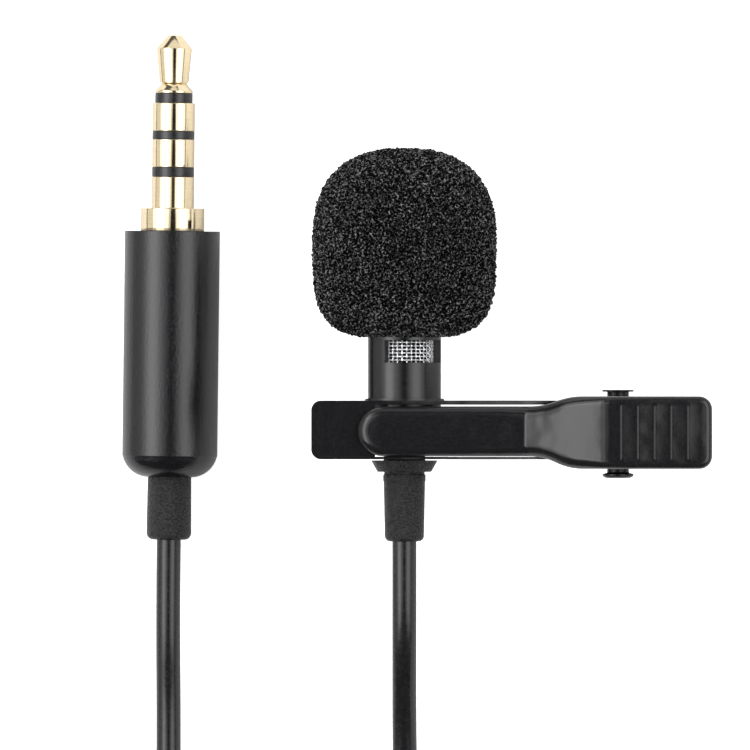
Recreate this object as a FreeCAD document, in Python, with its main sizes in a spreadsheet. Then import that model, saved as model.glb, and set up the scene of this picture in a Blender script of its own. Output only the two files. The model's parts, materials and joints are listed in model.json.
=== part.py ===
import FreeCAD, Part
import math
import os
from types import SimpleNamespace

import Sketcher

# Clip-on lavalier microphone with a foam windscreen, a spring clip, a thin cable and a four-pole plug.
# It lies on a table: +Z is up, the microphone's axis runs along Y and the clip reaches out along X.
# Microphone and clip are first drawn about the microphone's axis, with Y = 0 at the clip's top edge
# and +Z towards the clip's front. The whole then leans until the foam and the rear pad touch the table.

Vector = FreeCAD.Vector
doc = FreeCAD.newDocument("lavalier_microphone")

SIZES = (
    ("foam_diameter", 15.07, "outside of the foam"),
    ("foam_bottom", 5.08, "lower face of the foam above the clip's edge"),
    ("foam_base_height", 7.79, "from the foam's lower face to its widest place"),
    ("foam_crown_height", 7.75, "from the widest place to the foam's top"),
    ("foam_base_power", 3.8, "squareness of the foam's lower half"),
    ("foam_crown_power", 2.5, "squareness of the foam's upper half"),
    ("foam_fit", 0.05, "room between foam and tube, on the radius"),
    ("foam_bore_gap", 0.3, "room above the tube's top"),
    ("tube_diameter", 6.0, "outside of the microphone's body"),
    ("tube_wall", 0.55, "wall of the body"),
    ("tube_top", 14.5, "top of the body above the clip's edge"),
    ("tube_drop", 4.35, "how far the body reaches down behind the clip"),
    ("tube_chamfer", 0.25, "bevel round the body's top"),
    ("lip_depth", 0.4, "thickness of the lip at the body's top"),
    ("lip_opening", 4.0, "opening inside that lip"),
    ("window_bottom", 3.07, "lower edge of the sound window"),
    ("window_height", 1.83, "height of the window"),
    ("window_angle", 116.0, "how far it goes round, in degrees"),
    ("window_turn", 25.0, "how far its middle is turned to the right, in degrees"),
    ("seat_gap", 0.02, "room between pieces that are pushed together and glued"),
    ("mesh_wall", 0.12, "thickness of the woven cylinder"),
    ("mesh_overlap", 0.6, "how far it reaches past the window"),
    ("grille_thickness", 0.15, "woven disc under the lip"),
    ("capsule_diameter", 4.4, "outside of the capsule"),
    ("capsule_length", 2.2, "height of the capsule"),
    ("can_wall", 0.15, "sheet of the can"),
    ("inlet_diameter", 0.8, "sound inlet in the can"),
    ("gasket_height", 1.6, "height of the rubber sleeve"),
    ("film_thickness", 0.12, "diaphragm with its ring"),
    ("spacer_thickness", 0.1, "spacer under the diaphragm"),
    ("spacer_width", 0.35, "width of the spacer's ring"),
    ("backplate_diameter", 3.2, "perforated electrode"),
    ("backplate_thickness", 0.25, "its thickness"),
    ("sound_hole", 0.35, "holes in the electrode"),
    ("sound_hole_circle", 1.8, "diameter of the circle that the holes lie on"),
    ("board_thickness", 0.3, "circuit board"),
    ("holder_ledge", 0.2, "ledge under the electrode"),
    ("contact_wall", 0.15, "wall of the contact ring"),
    ("chip_length", 1.2, "amplifier chip"),
    ("chip_width", 0.8, "its width"),
    ("chip_height", 0.45, "its height"),
    ("wire_diameter", 0.4, "insulated wire"),
    ("wire_offset", 0.4, "each wire's distance from the cable's axis"),
    ("tail_length", 3.0, "plug that closes the body"),
    ("neck_depth", 2.0, "how far the boot's neck reaches into that plug"),
    ("ferrule_diameter", 3.0, "crimp on the cable"),
    ("ferrule_length", 1.6, "its length"),
    ("cable_diameter", 2.0, "outside of the cable"),
    ("cable_fit", 0.02, "room round the cable in the boots"),
    ("cable_tail", 0.5, "how far the cable comes out of the ferrule"),
    ("neck_diameter", 3.4, "boot where it passes the lower lug"),
    ("barb_diameter", 5.46, "upper edge of the boot's barb"),
    ("barb_end_diameter", 4.42, "lower edge of the barb"),
    ("barb_height", 0.94, "its height"),
    ("lug_play", 0.1, "room between lower lug and barb"),
    ("waist_diameter", 3.33, "boot under the barb"),
    ("waist_height", 0.2, "height of that waist"),
    ("bead_diameter", 3.49, "bead under the waist"),
    ("bead_height", 0.6, "its height"),
    ("boot_diameter", 3.4, "boot under the bead"),
    ("boot_end_diameter", 3.23, "boot at its lower end"),
    ("boot_length", 4.91, "from the bead to the lower end"),
    ("boot_corner", 0.47, "rounding at the lower end"),
    ("rear_top", 0.04, "upper edge of the rear arm below the reference"),
    ("rear_width", 4.81, "width of the rear arm"),
    ("clip_sheet", 0.4, "sheet of both arms"),
    ("web_gap", 0.2, "room between the body and the rear arm"),
    ("plate_reach", 7.63, "end of the rear arm's plate, left of the axis"),
    ("plate_corner", 0.8, "rounding of that plate"),
    ("slot_start", 2.4, "left end of the slot, left of the axis"),
    ("slot_end", 12.5, "right end of the slot"),
    ("upper_rail", 0.34, "width of the rail above the slot, and of the upper lug and ear"),
    ("lower_rail", 0.2, "width of the rail below the slot, and of the lower lug and ear"),
    ("rail_depth", 1.4, "how far the rails are bent back"),
    ("bend_reach", 9.85, "first bend of both arms"),
    ("pad_start", 16.42, "second bend, where the pads begin"),
    ("rear_drop", 3.2, "how far the rear pad lies behind the rear arm"),
    ("rear_end", 24.9, "end of the rear pad"),
    ("pad_corner", 1.05, "rounding of the pads"),
    ("bend_radius", 0.8, "radius of the bends"),
    ("lug_radius", 3.6, "outside of the lugs"),
    ("swivel_fit", 0.05, "room between the microphone and its lugs, on the radius"),
    ("collar_height", 0.16, "collar on the upper lug"),
    ("collar_wall", 0.21, "its wall"),
    ("tip_reach", 3.79, "end of the front arm, left of the axis"),
    ("arm_width", 4.08, "front arm between tip and flare"),
    ("arm_centre", 2.56, "middle of the front arm below the reference"),
    ("arm_wall", 0.3, "side walls of the front arm"),
    ("jaw_depth", 0.9, "side walls of the jaw behind the sheet"),
    ("jaw_end", 11.85, "where their straight edge ends"),
    ("jaw_gap", 0.05, "room between the closed jaws"),
    ("tooth_depth", 0.3, "teeth in the walls' edges"),
    ("tooth_pitch", 0.85, "from tooth to tooth"),
    ("flare_start", 10.2, "where the front arm gets wider"),
    ("flare_end", 14.56, "where it has the pad's width"),
    ("pad_width", 5.93, "thumb pad of the front arm"),
    ("pad_centre", 2.655, "middle of the pad below the reference"),
    ("front_rise", 3.4, "how far the front pad lies before the front arm"),
    ("front_end", 25.12, "end of the front pad"),
    ("pad_lip", 1.2, "how far the pad's rim is bent back"),
    ("rib_first", 17.62, "first rib of the pad"),
    ("rib_pitch", 1.365, "from rib to rib"),
    ("rib_height", 0.08, "height of the ribs"),
    ("rib_rise", 0.18, "width of the steep side of a rib"),
    ("rib_length", 4.76, "length of the ribs"),
    ("pivot_reach", 17.47, "hinge pin, right of the axis"),
    ("ear_radius", 1.5, "ears round the pin"),
    ("rear_ear_start", 14.7, "left end of the rear ears"),
    ("rear_ear_end", 20.2, "right end of the rear ears"),
    ("pin_diameter", 1.78, "tubular hinge pin"),
    ("pin_bore", 1.2, "its bore"),
    ("pin_top", 0.84, "upper end of the pin above the reference"),
    ("pin_length", 7.23, "length over its heads"),
    ("pin_fit", 0.04, "room between pin and front ears, on the radius"),
    ("head_diameter", 2.58, "flared heads of the pin"),
    ("upper_head", 0.16, "thickness of the upper head"),
    ("lower_head", 0.33, "thickness of the lower head"),
    ("spring_wire", 0.38, "wire of the spring"),
    ("spring_diameter", 2.7, "middle of its turns"),
    ("spring_pitch", 0.85, "from turn to turn"),
    ("spring_leg", 6.0, "reach of its legs along the pads"),
    ("spring_seat", 0.05, "room between the legs' ends and the pads"),
    ("plug_across", 21.5, "plug's cable exit, left of the microphone's"),
    ("plug_along", 11.52, "plug's cable exit below the reference"),
    ("plug_lean", 0.7, "how far the plug is turned on the table, in degrees"),
    ("contact_diameter", 3.5, "sleeve and rings of the plug"),
    ("collar_diameter", 5.23, "wide collar at the plug's root"),
    ("collar_length", 1.88, "its length"),
    ("sleeve_end", 4.47, "front end of the sleeve, from the housing"),
    ("sleeve_band", 0.8, "insulator in front of the sleeve"),
    ("second_band", 2.29, "second ring"),
    ("middle_band", 0.69, "insulator between the rings"),
    ("first_band", 2.3, "first ring"),
    ("tip_band", 0.82, "insulator behind the tip"),
    ("tip_band_diameter", 3.1, "its outside"),
    ("tip_length", 4.77, "tip in front of that insulator"),
    ("tip_shoulder_diameter", 3.13, "rear shoulder of the tip"),
    ("tip_shoulder", 0.2, "its length"),
    ("tip_flank_diameter", 2.44, "where the shoulder's slope meets the groove"),
    ("tip_groove_diameter", 2.0, "groove of the tip"),
    ("tip_groove_start", 0.55, "where the groove begins"),
    ("tip_groove_end", 0.84, "where it ends"),
    ("tip_waist_diameter", 2.4, "tip in front of the groove"),
    ("tip_cone_diameter", 2.93, "widest place of the tip's cone"),
    ("tip_cone_height", 1.1, "height of the cone"),
    ("tip_end_diameter", 1.15, "blunt end of the tip"),
    ("rod_diameter", 0.8, "rod through the plug"),
    ("layer", 0.2, "wall of each inner sleeve of the plug"),
    ("rod_tail", 5.6, "how far the rod reaches into the housing"),
    ("tail_step", 0.7, "how much each layer stands back from the one inside it"),
    ("housing_diameter", 7.84, "outside of the plug's housing"),
    ("housing_length", 20.27, "its length"),
    ("housing_wall", 0.62, "its wall"),
    ("housing_face", 0.8, "thickness of its front face"),
    ("housing_round", 2.2, "radius of its rounded rear end"),
    ("housing_crease", 18.52, "where that rounding begins"),
    ("housing_floor", 17.6, "rear end of the cavity"),
    ("core_length", 4.2, "moulded core behind the front face"),
    ("plug_boot_diameter", 3.59, "boot of the plug"),
    ("plug_boot_end_diameter", 3.69, "the boot at its end"),
    ("plug_boot_reach", 25.42, "end of the boot, from the housing's face"),
    ("plug_boot_corner", 0.57, "rounding of its end"),
    ("boot_flange_diameter", 5.6, "flange that holds the boot in the housing"),
    ("boot_flange_length", 0.8, "its thickness"),
    ("plug_cable_tail", 1.6, "how far the cable comes out of that flange"),
    ("plug_wire_diameter", 0.15, "wires in the plug"),
)
BACKPLATE_HOLES = 6
PAD_RIBS = 5
JAW_TEETH = 9
SPRING_TURNS = 4


class Formula:
    """A size that knows its number and the spreadsheet formula that gives it."""

    def __init__(self, text, value):
        self.text = text
        self.value = value

    def combine(self, other, sign, value):
        return Formula("(%s %s %s)" % (self.text, sign, other.text), value)

    def __add__(self, other):
        other = formula(other)
        return self.combine(other, "+", self.value + other.value)

    def __sub__(self, other):
        other = formula(other)
        return self.combine(other, "-", self.value - other.value)

    def __mul__(self, other):
        other = formula(other)
        return self.combine(other, "*", self.value * other.value)

    def __truediv__(self, other):
        other = formula(other)
        return self.combine(other, "/", self.value / other.value)

    def __neg__(self):
        return formula(0) - self

    def __radd__(self, other):
        return formula(other) + self

    def __rsub__(self, other):
        return formula(other) - self

    def __rmul__(self, other):
        return formula(other) * self


def formula(number):
    """Turns a plain number into a Formula and leaves a Formula alone."""
    if isinstance(number, Formula):
        return number
    return Formula("%.9g" % number, float(number))


def make_sheet():
    """Writes the driving sizes into a spreadsheet and returns them as Formulas by name."""
    sheet = doc.addObject("Spreadsheet::Sheet", "sizes")
    for row, (alias, number, meaning) in enumerate(SIZES, start=1):
        sheet.set("A%d" % row, meaning)
        sheet.set("B%d" % row, repr(number))
        sheet.setAlias("B%d" % row, alias)
    doc.recompute()
    numbers = {alias: float(getattr(sheet, alias)) for alias, _, _ in SIZES}
    return SimpleNamespace(**{alias: Formula("sizes." + alias, number) for alias, number in numbers.items()})


size = make_sheet()


def bind(item, prop, rule):
    """Sets a property to a Formula's number and ties it to the sheet."""
    item.setExpression(prop, formula(rule).text)


def body(name):
    piece = doc.addObject("PartDesign::Body", name)
    piece.Label = name
    return piece


def origin_plane(piece, role):
    return [plane for plane in piece.Origin.OriginFeatures if plane.Role == role][0]


def add_sketch(piece, name, role, offset=None):
    """An empty sketch on one of the body's own planes, moved along that plane's normal by offset."""
    sketch = piece.newObject("Sketcher::SketchObject", name)
    sketch.AttachmentSupport = (origin_plane(piece, role), "")
    sketch.MapMode = "FlatFace"
    if offset is not None:
        bind(sketch, "AttachmentOffset.Base.z", offset)
    return sketch


def arc_between(start, end, radius):
    """A flat arc from start to end, to the left of the chord's middle if radius is negative."""
    chord = end - start
    half = chord.Length / 2
    side = Vector(-chord.y, chord.x, 0).normalize()
    depth = math.sqrt(max(radius * radius - half * half, 0.0))
    centre = start + chord / 2 + side * math.copysign(depth, radius)
    angles = [math.atan2(point.y - centre.y, point.x - centre.x) for point in (start, end)]
    circle = Part.Circle(centre, Vector(0, 0, 1), abs(radius))
    if radius > 0:
        return Part.ArcOfCircle(circle, angles[0], angles[1]), (1, 2)
    return Part.ArcOfCircle(circle, angles[1], angles[0]), (2, 1)


def draw(sketch, corners):
    """Draws a closed outline. A corner is (x, y), or (x, y, radius) where an arc leads to the next:
    positive turns left on the way, negative turns right."""
    points = [(formula(corner[0]), formula(corner[1])) for corner in corners]
    spots = [Vector(x.value, y.value, 0) for x, y in points]
    first = sketch.GeometryCount
    ends = []
    for index, corner in enumerate(corners):
        start, end = spots[index], spots[(index + 1) % len(spots)]
        if len(corner) == 3:
            edge, order = arc_between(start, end, formula(corner[2]).value)
        else:
            edge, order = Part.LineSegment(start, end), (1, 2)
        sketch.addGeometry(edge, False)
        ends.append(order)
    for index, corner in enumerate(corners):
        following = (index + 1) % len(corners)
        join = (first + index, ends[index][1], first + following, ends[following][0])
        sketch.addConstraint(Sketcher.Constraint("Coincident", *join))
        for kind, rule in zip(("DistanceX", "DistanceY"), points[index]):
            place = Sketcher.Constraint(kind, -1, 1, first + index, ends[index][0], rule.value)
            bind(sketch, "Constraints[%d]" % sketch.addConstraint(place), rule)
        if len(corner) == 3:
            bend = formula(corner[2])
            number = sketch.addConstraint(Sketcher.Constraint("Radius", first + index, abs(bend.value)))
            bind(sketch, "Constraints[%d]" % number, bend if bend.value > 0 else -bend)


def draw_circle(sketch, x, y, radius):
    x, y, radius = formula(x), formula(y), formula(radius)
    circle = Part.Circle(Vector(x.value, y.value, 0), Vector(0, 0, 1), radius.value)
    number = sketch.addGeometry(circle, False)
    for kind, rule in (("DistanceX", x), ("DistanceY", y)):
        place = Sketcher.Constraint(kind, -1, 1, number, 3, rule.value)
        bind(sketch, "Constraints[%d]" % sketch.addConstraint(place), rule)
    width = sketch.addConstraint(Sketcher.Constraint("Radius", number, radius.value))
    bind(sketch, "Constraints[%d]" % width, radius)


def turned(name, corners):
    """A body turned on the Y axis from an outline of (radius, height) corners."""
    piece = body(name)
    sketch = add_sketch(piece, name + "_outline", "XY_Plane")
    draw(sketch, corners)
    spin = piece.newObject("PartDesign::Revolution", name + "_turn")
    spin.Profile = sketch
    spin.ReferenceAxis = (sketch, ["V_Axis"])
    spin.Angle = 360
    return piece


def ring(name, inner, outer, bottom, top):
    return turned(name, [(inner, bottom), (outer, bottom), (outer, top), (inner, top)])


def disc(name, radius, bottom, top):
    return turned(name, [(0, bottom), (radius, bottom), (radius, top), (0, top)])


def pad(piece, name, sketch, length, backwards=False):
    feature = piece.newObject("PartDesign::Pad", name)
    feature.Profile = sketch
    bind(feature, "Length", length)
    feature.Reversed = backwards
    return feature


def pocket(piece, name, sketch, length=None):
    """Cuts to a depth along the sketch's normal, or right through both ways where no depth is given."""
    feature = piece.newObject("PartDesign::Pocket", name)
    feature.Profile = sketch
    if length is None:
        feature.Type = "ThroughAll"
        feature.Midplane = True
    else:
        feature.Reversed = True
        bind(feature, "Length", length)
    return feature


def extruded(name, outlines, plane, length, start):
    """A plain extrusion of outlines: plane XZ runs down from Y = start, plane XY runs up from Z = start."""
    sketch = doc.addObject("Sketcher::SketchObject", name + "_outline")
    for corners in outlines:
        draw(sketch, corners)
    if plane == "XZ":
        sketch.Placement = FreeCAD.Placement(Vector(), FreeCAD.Rotation(Vector(1, 0, 0), 90))
        bind(sketch, ".Placement.Base.y", start)
    else:
        bind(sketch, ".Placement.Base.z", start)
    block = doc.addObject("Part::Extrusion", name)
    block.Base = sketch
    block.DirMode = "Normal"
    block.Solid = True
    bind(block, "LengthFwd", length)
    return block


def combined(kind, name, parts):
    result = doc.addObject("Part::Multi" + kind, name)
    result.Shapes = parts
    return result


def cut(name, base, tool):
    result = doc.addObject("Part::Cut", name)
    result.Base = base
    result.Tool = tool
    return result


def shaped(name, shape):
    feature = doc.addObject("Part::Feature", name)
    feature.Label = name
    feature.Shape = shape
    return feature


# Smooth pipes: arcs between points whose directions are known


def half_biarc(start, along, end, backwards=False):
    """The arc that leaves start in the direction along and ends at end; backwards draws it from its end."""
    chord = end - start
    reach = chord.Length
    ahead = chord / reach
    aside = along - ahead * along.dot(ahead)
    first, last = (end, start) if backwards else (start, end)
    if aside.Length < 1e-7:
        return Part.LineSegment(first, last).toShape()
    half_turn = math.acos(min(1.0, along.dot(ahead)))
    middle = start + chord / 2 + aside.normalize() * (reach / 2 * math.tan(half_turn / 2))
    return Part.Arc(first, middle, last).toShape()


def biarc(start, leaving, end, arriving):
    """Two arcs that join start to end with the two directions given."""
    chord = end - start
    both = leaving + arriving
    spread = 2 * (1 - leaving.dot(arriving))
    if spread < 1e-9:
        handle = chord.dot(chord) / (2 * chord.dot(both))
    else:
        lean = chord.dot(both)
        handle = (math.sqrt(lean * lean + spread * chord.dot(chord)) - lean) / spread
    joint = (start + leaving * handle + end - arriving * handle) / 2
    return [half_biarc(start, leaving, joint), half_biarc(end, arriving * -1, joint, backwards=True)]


def pipe(edges, diameter):
    """One solid tube along joined edges."""
    path = Part.Wire(Part.__sortEdges__(edges))
    first = path.OrderedEdges[0]
    start = path.OrderedVertexes[0].Point
    near = first.Vertexes[0].Point.distanceToPoint(start) < 1e-6
    where = first.FirstParameter if near else first.LastParameter
    circle = Part.Circle(start, first.tangentAt(where), diameter / 2)
    shell = Part.BRepOffsetAPI.MakePipeShell(path)
    shell.add(Part.Wire([circle.toShape()]))
    shell.build()
    shell.makeSolid()
    return shell.shape(), path.Length


def report_pipe(name, solid, length, diameter):
    expected = math.pi * diameter * diameter / 4 * length
    print("%s: length %.1f mm, volume %.1f, section times length %.1f" % (name, length, solid.Volume, expected))


def least_gap(edges, diameter, clear_length):
    """Smallest distance between stretches of the path that lie further apart along it than clear_length."""
    spots, places, travelled = [], [], 0.0
    step = diameter / 2.5
    for edge in edges:
        count = max(2, int(edge.Length / step))
        for point in edge.discretize(count)[:-1]:
            spots.append(point)
            places.append(travelled)
            travelled += edge.Length / (count - 1)
    least = 1e9
    for index, spot in enumerate(spots):
        for other in range(index + 1, len(spots)):
            if places[other] - places[index] > clear_length:
                least = min(least, (spots[other] - spot).Length)
    return least - diameter


def rounded_route(points):
    """Straight runs joined by tangent arcs, each as large as its two runs allow."""
    edges, radii = [], []
    last = points[0]
    for before, corner, after in zip(points, points[1:], points[2:]):
        arriving = (corner - before).normalize()
        leaving = (after - corner).normalize()
        turn = arriving.getAngle(leaving)
        shorter = min((corner - before).Length, (after - corner).Length)
        trim = 0.45 * shorter
        radii.append(trim / math.tan(turn / 2))
        start, end = corner - arriving * trim, corner + leaving * trim
        inward = (leaving - arriving).normalize()
        centre_distance = radii[-1] / math.cos(turn / 2)
        middle = corner + inward * (centre_distance - radii[-1])
        edges.append(Part.LineSegment(last, start).toShape())
        edges.append(Part.Arc(start, middle, end).toShape())
        last = end
    edges.append(Part.LineSegment(last, points[-1]).toShape())
    return edges, radii


# Heights and radii that several pieces share

tube_radius = size.tube_diameter / 2
bore_radius = tube_radius - size.tube_wall
tube_bottom = -size.tube_drop
lip_underside = size.tube_top - size.lip_depth
grille_bottom = lip_underside - size.grille_thickness
capsule_top = grille_bottom - size.seat_gap
capsule_bottom = capsule_top - size.capsule_length
can_radius = size.capsule_diameter / 2
can_bore = can_radius - size.can_wall
stack_radius = can_bore - size.seat_gap
cable_radius = size.cable_diameter / 2
boot_bore = cable_radius + size.cable_fit
neck_radius = size.neck_diameter / 2
rear_bottom = -size.rear_top - size.rear_width
barb_top = rear_bottom - size.lug_play
barb_bottom = barb_top - size.barb_height
bead_top = barb_bottom - size.waist_height
bead_bottom = bead_top - size.bead_height
boot_end = bead_bottom - size.boot_length
tail_top = tube_bottom + size.tail_length
ferrule_top = tail_top + size.ferrule_length
cable_top = ferrule_top + size.cable_tail
web_back = tube_radius + size.web_gap
web_front = web_back + size.clip_sheet
front_back = web_front + size.jaw_gap + size.jaw_depth
front_face = front_back + size.clip_sheet
pivot_height = (web_front + front_back) / 2
pad_back = web_back - size.rear_drop
front_pad = front_face + size.front_rise
slope_length = size.pad_start - size.bend_reach


def foam_windscreen():
    """Turned from a rounded square outline: r = a (1 - (y / h)^n)^(1 / n) above and below its widest place."""
    widest = size.foam_bottom.value + size.foam_base_height.value
    radius = size.foam_diameter.value / 2
    halves = (
        (-size.foam_base_height.value, size.foam_base_power.value),
        (size.foam_crown_height.value, size.foam_crown_power.value),
    )
    edges = []
    for reach, power in halves:
        steps = [math.pi / 2 * index / 8 for index in range(9)]
        points = [
            Vector(radius * math.cos(angle) ** (2 / power), widest + reach * math.sin(angle) ** (2 / power), 0)
            for angle in steps
        ]
        points[-1] = Vector(0, widest + reach, 0)
        curve = Part.BSplineCurve()
        curve.interpolate(Points=points, InitialTangent=Vector(0, reach, 0), FinalTangent=Vector(-radius, 0, 0))
        edges.append(curve.toShape())
    ends = [Vector(0, widest + reach, 0) for reach, _ in halves]
    edges.append(Part.LineSegment(*ends).toShape())
    outline = Part.Wire(Part.__sortEdges__(edges))
    ball = Part.Face(outline).revolve(Vector(), Vector(0, 1, 0), 360)
    bore = tube_radius + size.foam_fit
    depth = size.tube_top + size.foam_bore_gap
    hole = Part.makeCylinder(bore.value, depth.value, Vector(), Vector(0, 1, 0))
    return shaped("foam_windscreen", ball.cut(hole))


def mic_tube():
    """Black body with a lip at the top, open at the bottom, and a sound window in its side."""
    bevel = size.tube_chamfer
    opening = size.lip_opening / 2
    piece = turned(
        "mic_tube",
        [
            (bore_radius, tube_bottom),
            (tube_radius, tube_bottom),
            (tube_radius, size.tube_top - bevel),
            (tube_radius - bevel, size.tube_top),
            (opening, size.tube_top),
            (opening, lip_underside),
            (bore_radius, lip_underside),
        ],
    )
    doc.recompute()
    # The window is a pie-shaped cut: the wedge stands on the XZ plane and its point is on the axis.
    sketch = add_sketch(piece, "window_outline", "XZ_Plane", -size.window_bottom)
    reach = size.tube_diameter.value
    half = math.radians(size.window_angle.value / 2)
    facing = math.radians(90 - size.window_turn.value)
    corners = [Vector()]
    for angle in (facing + half, facing - half):
        corners.append(Vector(reach * math.cos(angle), reach * math.sin(angle), 0))
    for index in range(3):
        sketch.addGeometry(Part.LineSegment(corners[index], corners[(index + 1) % 3]), False)
    for index in range(3):
        sketch.addConstraint(Sketcher.Constraint("Coincident", index, 2, (index + 1) % 3, 1))
    for line, half_sign in enumerate((0, 1, -1)):
        angle = "(90 - sizes.window_turn + %d * sizes.window_angle / 2)" % half_sign
        length = "0" if half_sign == 0 else "sizes.tube_diameter"
        for kind, wave, value in (("DistanceX", "cos", corners[line].x), ("DistanceY", "sin", corners[line].y)):
            place = sketch.addConstraint(Sketcher.Constraint(kind, -1, 1, line, 1, value))
            sketch.setExpression("Constraints[%d]" % place, "%s * %s(%s * 1deg)" % (length, wave, angle))
    window = pocket(piece, "window", sketch, size.window_height)
    window.Reversed = False
    return piece


def head_grille():
    return disc("head_grille", bore_radius - size.seat_gap, grille_bottom, lip_underside)


def window_mesh():
    outer = bore_radius - size.seat_gap
    bottom = size.window_bottom - size.mesh_overlap
    top = size.window_bottom + size.window_height + size.mesh_overlap
    return ring("window_mesh", outer - size.mesh_wall, outer, bottom, top)


def capsule_gasket():
    middle = (capsule_top + capsule_bottom) / 2
    half = size.gasket_height / 2
    inner = can_radius + size.seat_gap
    return ring("capsule_gasket", inner, bore_radius, middle - half, middle + half)


def capsule_can():
    inlet = size.inlet_diameter / 2
    return turned(
        "capsule_can",
        [
            (can_bore, capsule_bottom),
            (can_radius, capsule_bottom),
            (can_radius, capsule_top),
            (inlet, capsule_top),
            (inlet, capsule_top - size.can_wall),
            (can_bore, capsule_top - size.can_wall),
        ],
    )


film_bottom = capsule_top - size.can_wall - size.film_thickness
spacer_bottom = film_bottom - size.spacer_thickness
plate_bottom = spacer_bottom - size.backplate_thickness
board_bottom = capsule_bottom + size.seat_gap
board_top = board_bottom + size.board_thickness
plate_radius = size.backplate_diameter / 2


def capsule_diaphragm():
    return disc("capsule_diaphragm", stack_radius, film_bottom, capsule_top - size.can_wall)


def capsule_spacer():
    return ring("capsule_spacer", stack_radius - size.spacer_width, stack_radius, spacer_bottom, film_bottom)


def capsule_backplate():
    """The electrode under the film, with a circle of sound holes."""
    piece = disc("capsule_backplate", plate_radius, plate_bottom, spacer_bottom)
    doc.recompute()
    sketch = add_sketch(piece, "sound_hole_outline", "XZ_Plane", -plate_bottom)
    draw_circle(sketch, size.sound_hole_circle / 2, 0, size.sound_hole / 2)
    hole = pocket(piece, "sound_hole_cut", sketch)
    circle = piece.newObject("PartDesign::PolarPattern", "sound_hole_circle")
    circle.Originals = [hole]
    circle.Axis = ([axis for axis in piece.Origin.OriginFeatures if axis.Role == "Y_Axis"][0], [""])
    circle.Angle = 360
    circle.Occurrences = BACKPLATE_HOLES
    piece.Tip = circle
    return piece


def capsule_holder():
    """Plastic ring round the electrode, with a ledge under it, down to the board."""
    ledge = plate_radius - size.holder_ledge
    return turned(
        "capsule_holder",
        [
            (ledge, board_top),
            (stack_radius, board_top),
            (stack_radius, spacer_bottom),
            (plate_radius + size.seat_gap, spacer_bottom),
            (plate_radius + size.seat_gap, plate_bottom),
            (ledge, plate_bottom),
        ],
    )


def capsule_contact():
    outer = plate_radius - size.holder_ledge - size.seat_gap
    return ring("capsule_contact", outer - size.contact_wall, outer, board_top, plate_bottom)


def capsule_board():
    return disc("capsule_board", stack_radius, board_bottom, board_top)


def capsule_transistor():
    chip = doc.addObject("Part::Box", "capsule_transistor")
    chip.Label = "capsule_transistor"
    bind(chip, "Length", size.chip_length)
    bind(chip, "Width", size.chip_height)
    bind(chip, "Height", size.chip_width)
    return chip


def capsule_wires():
    """Two wires from the board down to the cable."""
    length = (board_bottom - cable_top).value
    spots = [Vector(side * size.wire_offset.value, cable_top.value, 0) for side in (-1, 1)]
    radius = size.wire_diameter.value / 2
    wires = [Part.makeCylinder(radius, length, spot, Vector(0, 1, 0)) for spot in spots]
    return shaped("capsule_wires", Part.makeCompound(wires))


def tail_plug():
    """Metal plug in the lower end of the body: the boot's neck and the cable go into it."""
    neck = neck_radius + size.seat_gap
    outer = bore_radius - size.seat_gap
    ceiling = tube_bottom + size.neck_depth
    return turned(
        "tail_plug",
        [
            (neck, tube_bottom),
            (outer, tube_bottom),
            (outer, tail_top),
            (boot_bore, tail_top),
            (boot_bore, ceiling),
            (neck, ceiling),
        ],
    )


def cable_ferrule():
    return ring("cable_ferrule", cable_radius + size.seat_gap, size.ferrule_diameter / 2, tail_top, ferrule_top)


def mic_cable_end():
    return disc("mic_cable_end", cable_radius, boot_end, cable_top)


def mic_boot():
    """Rubber strain relief: neck in the lower lug, barb under it, waist, bead and tapered body."""
    waist = size.waist_diameter / 2
    bead = size.bead_diameter / 2
    foot = size.boot_end_diameter / 2
    corner = size.boot_corner
    return turned(
        "mic_boot",
        [
            (boot_bore, boot_end),
            (foot - corner, boot_end, corner),
            (foot, boot_end + corner),
            (size.boot_diameter / 2, bead_bottom),
            (bead, bead_bottom),
            (bead, bead_top),
            (waist, bead_top),
            (waist, barb_bottom),
            (size.barb_end_diameter / 2, barb_bottom),
            (size.barb_diameter / 2, barb_top),
            (neck_radius, barb_top),
            (neck_radius, tube_bottom + size.neck_depth),
            (boot_bore, tube_bottom + size.neck_depth),
        ],
    )


def edges_near(piece, test):
    """Names of the edges whose middle passes the test."""
    names = []
    for index, edge in enumerate(piece.Shape.Edges, start=1):
        middle = edge.valueAt((edge.FirstParameter + edge.LastParameter) / 2)
        if test(edge, middle):
            names.append("Edge%d" % index)
    return names


def fillet(piece, name, base, radius, test):
    doc.recompute()
    feature = piece.newObject("PartDesign::Fillet", name)
    feature.Base = (base, edges_near(base, test))
    bind(feature, "Radius", radius)
    return feature


def runs_along(edge, axis):
    ends = [vertex.Point for vertex in edge.Vertexes]
    if len(ends) < 2:
        return False
    way = ends[1] - ends[0]
    return way.Length > 0 and abs(way.normalize().dot(axis)) > 0.999


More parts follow.
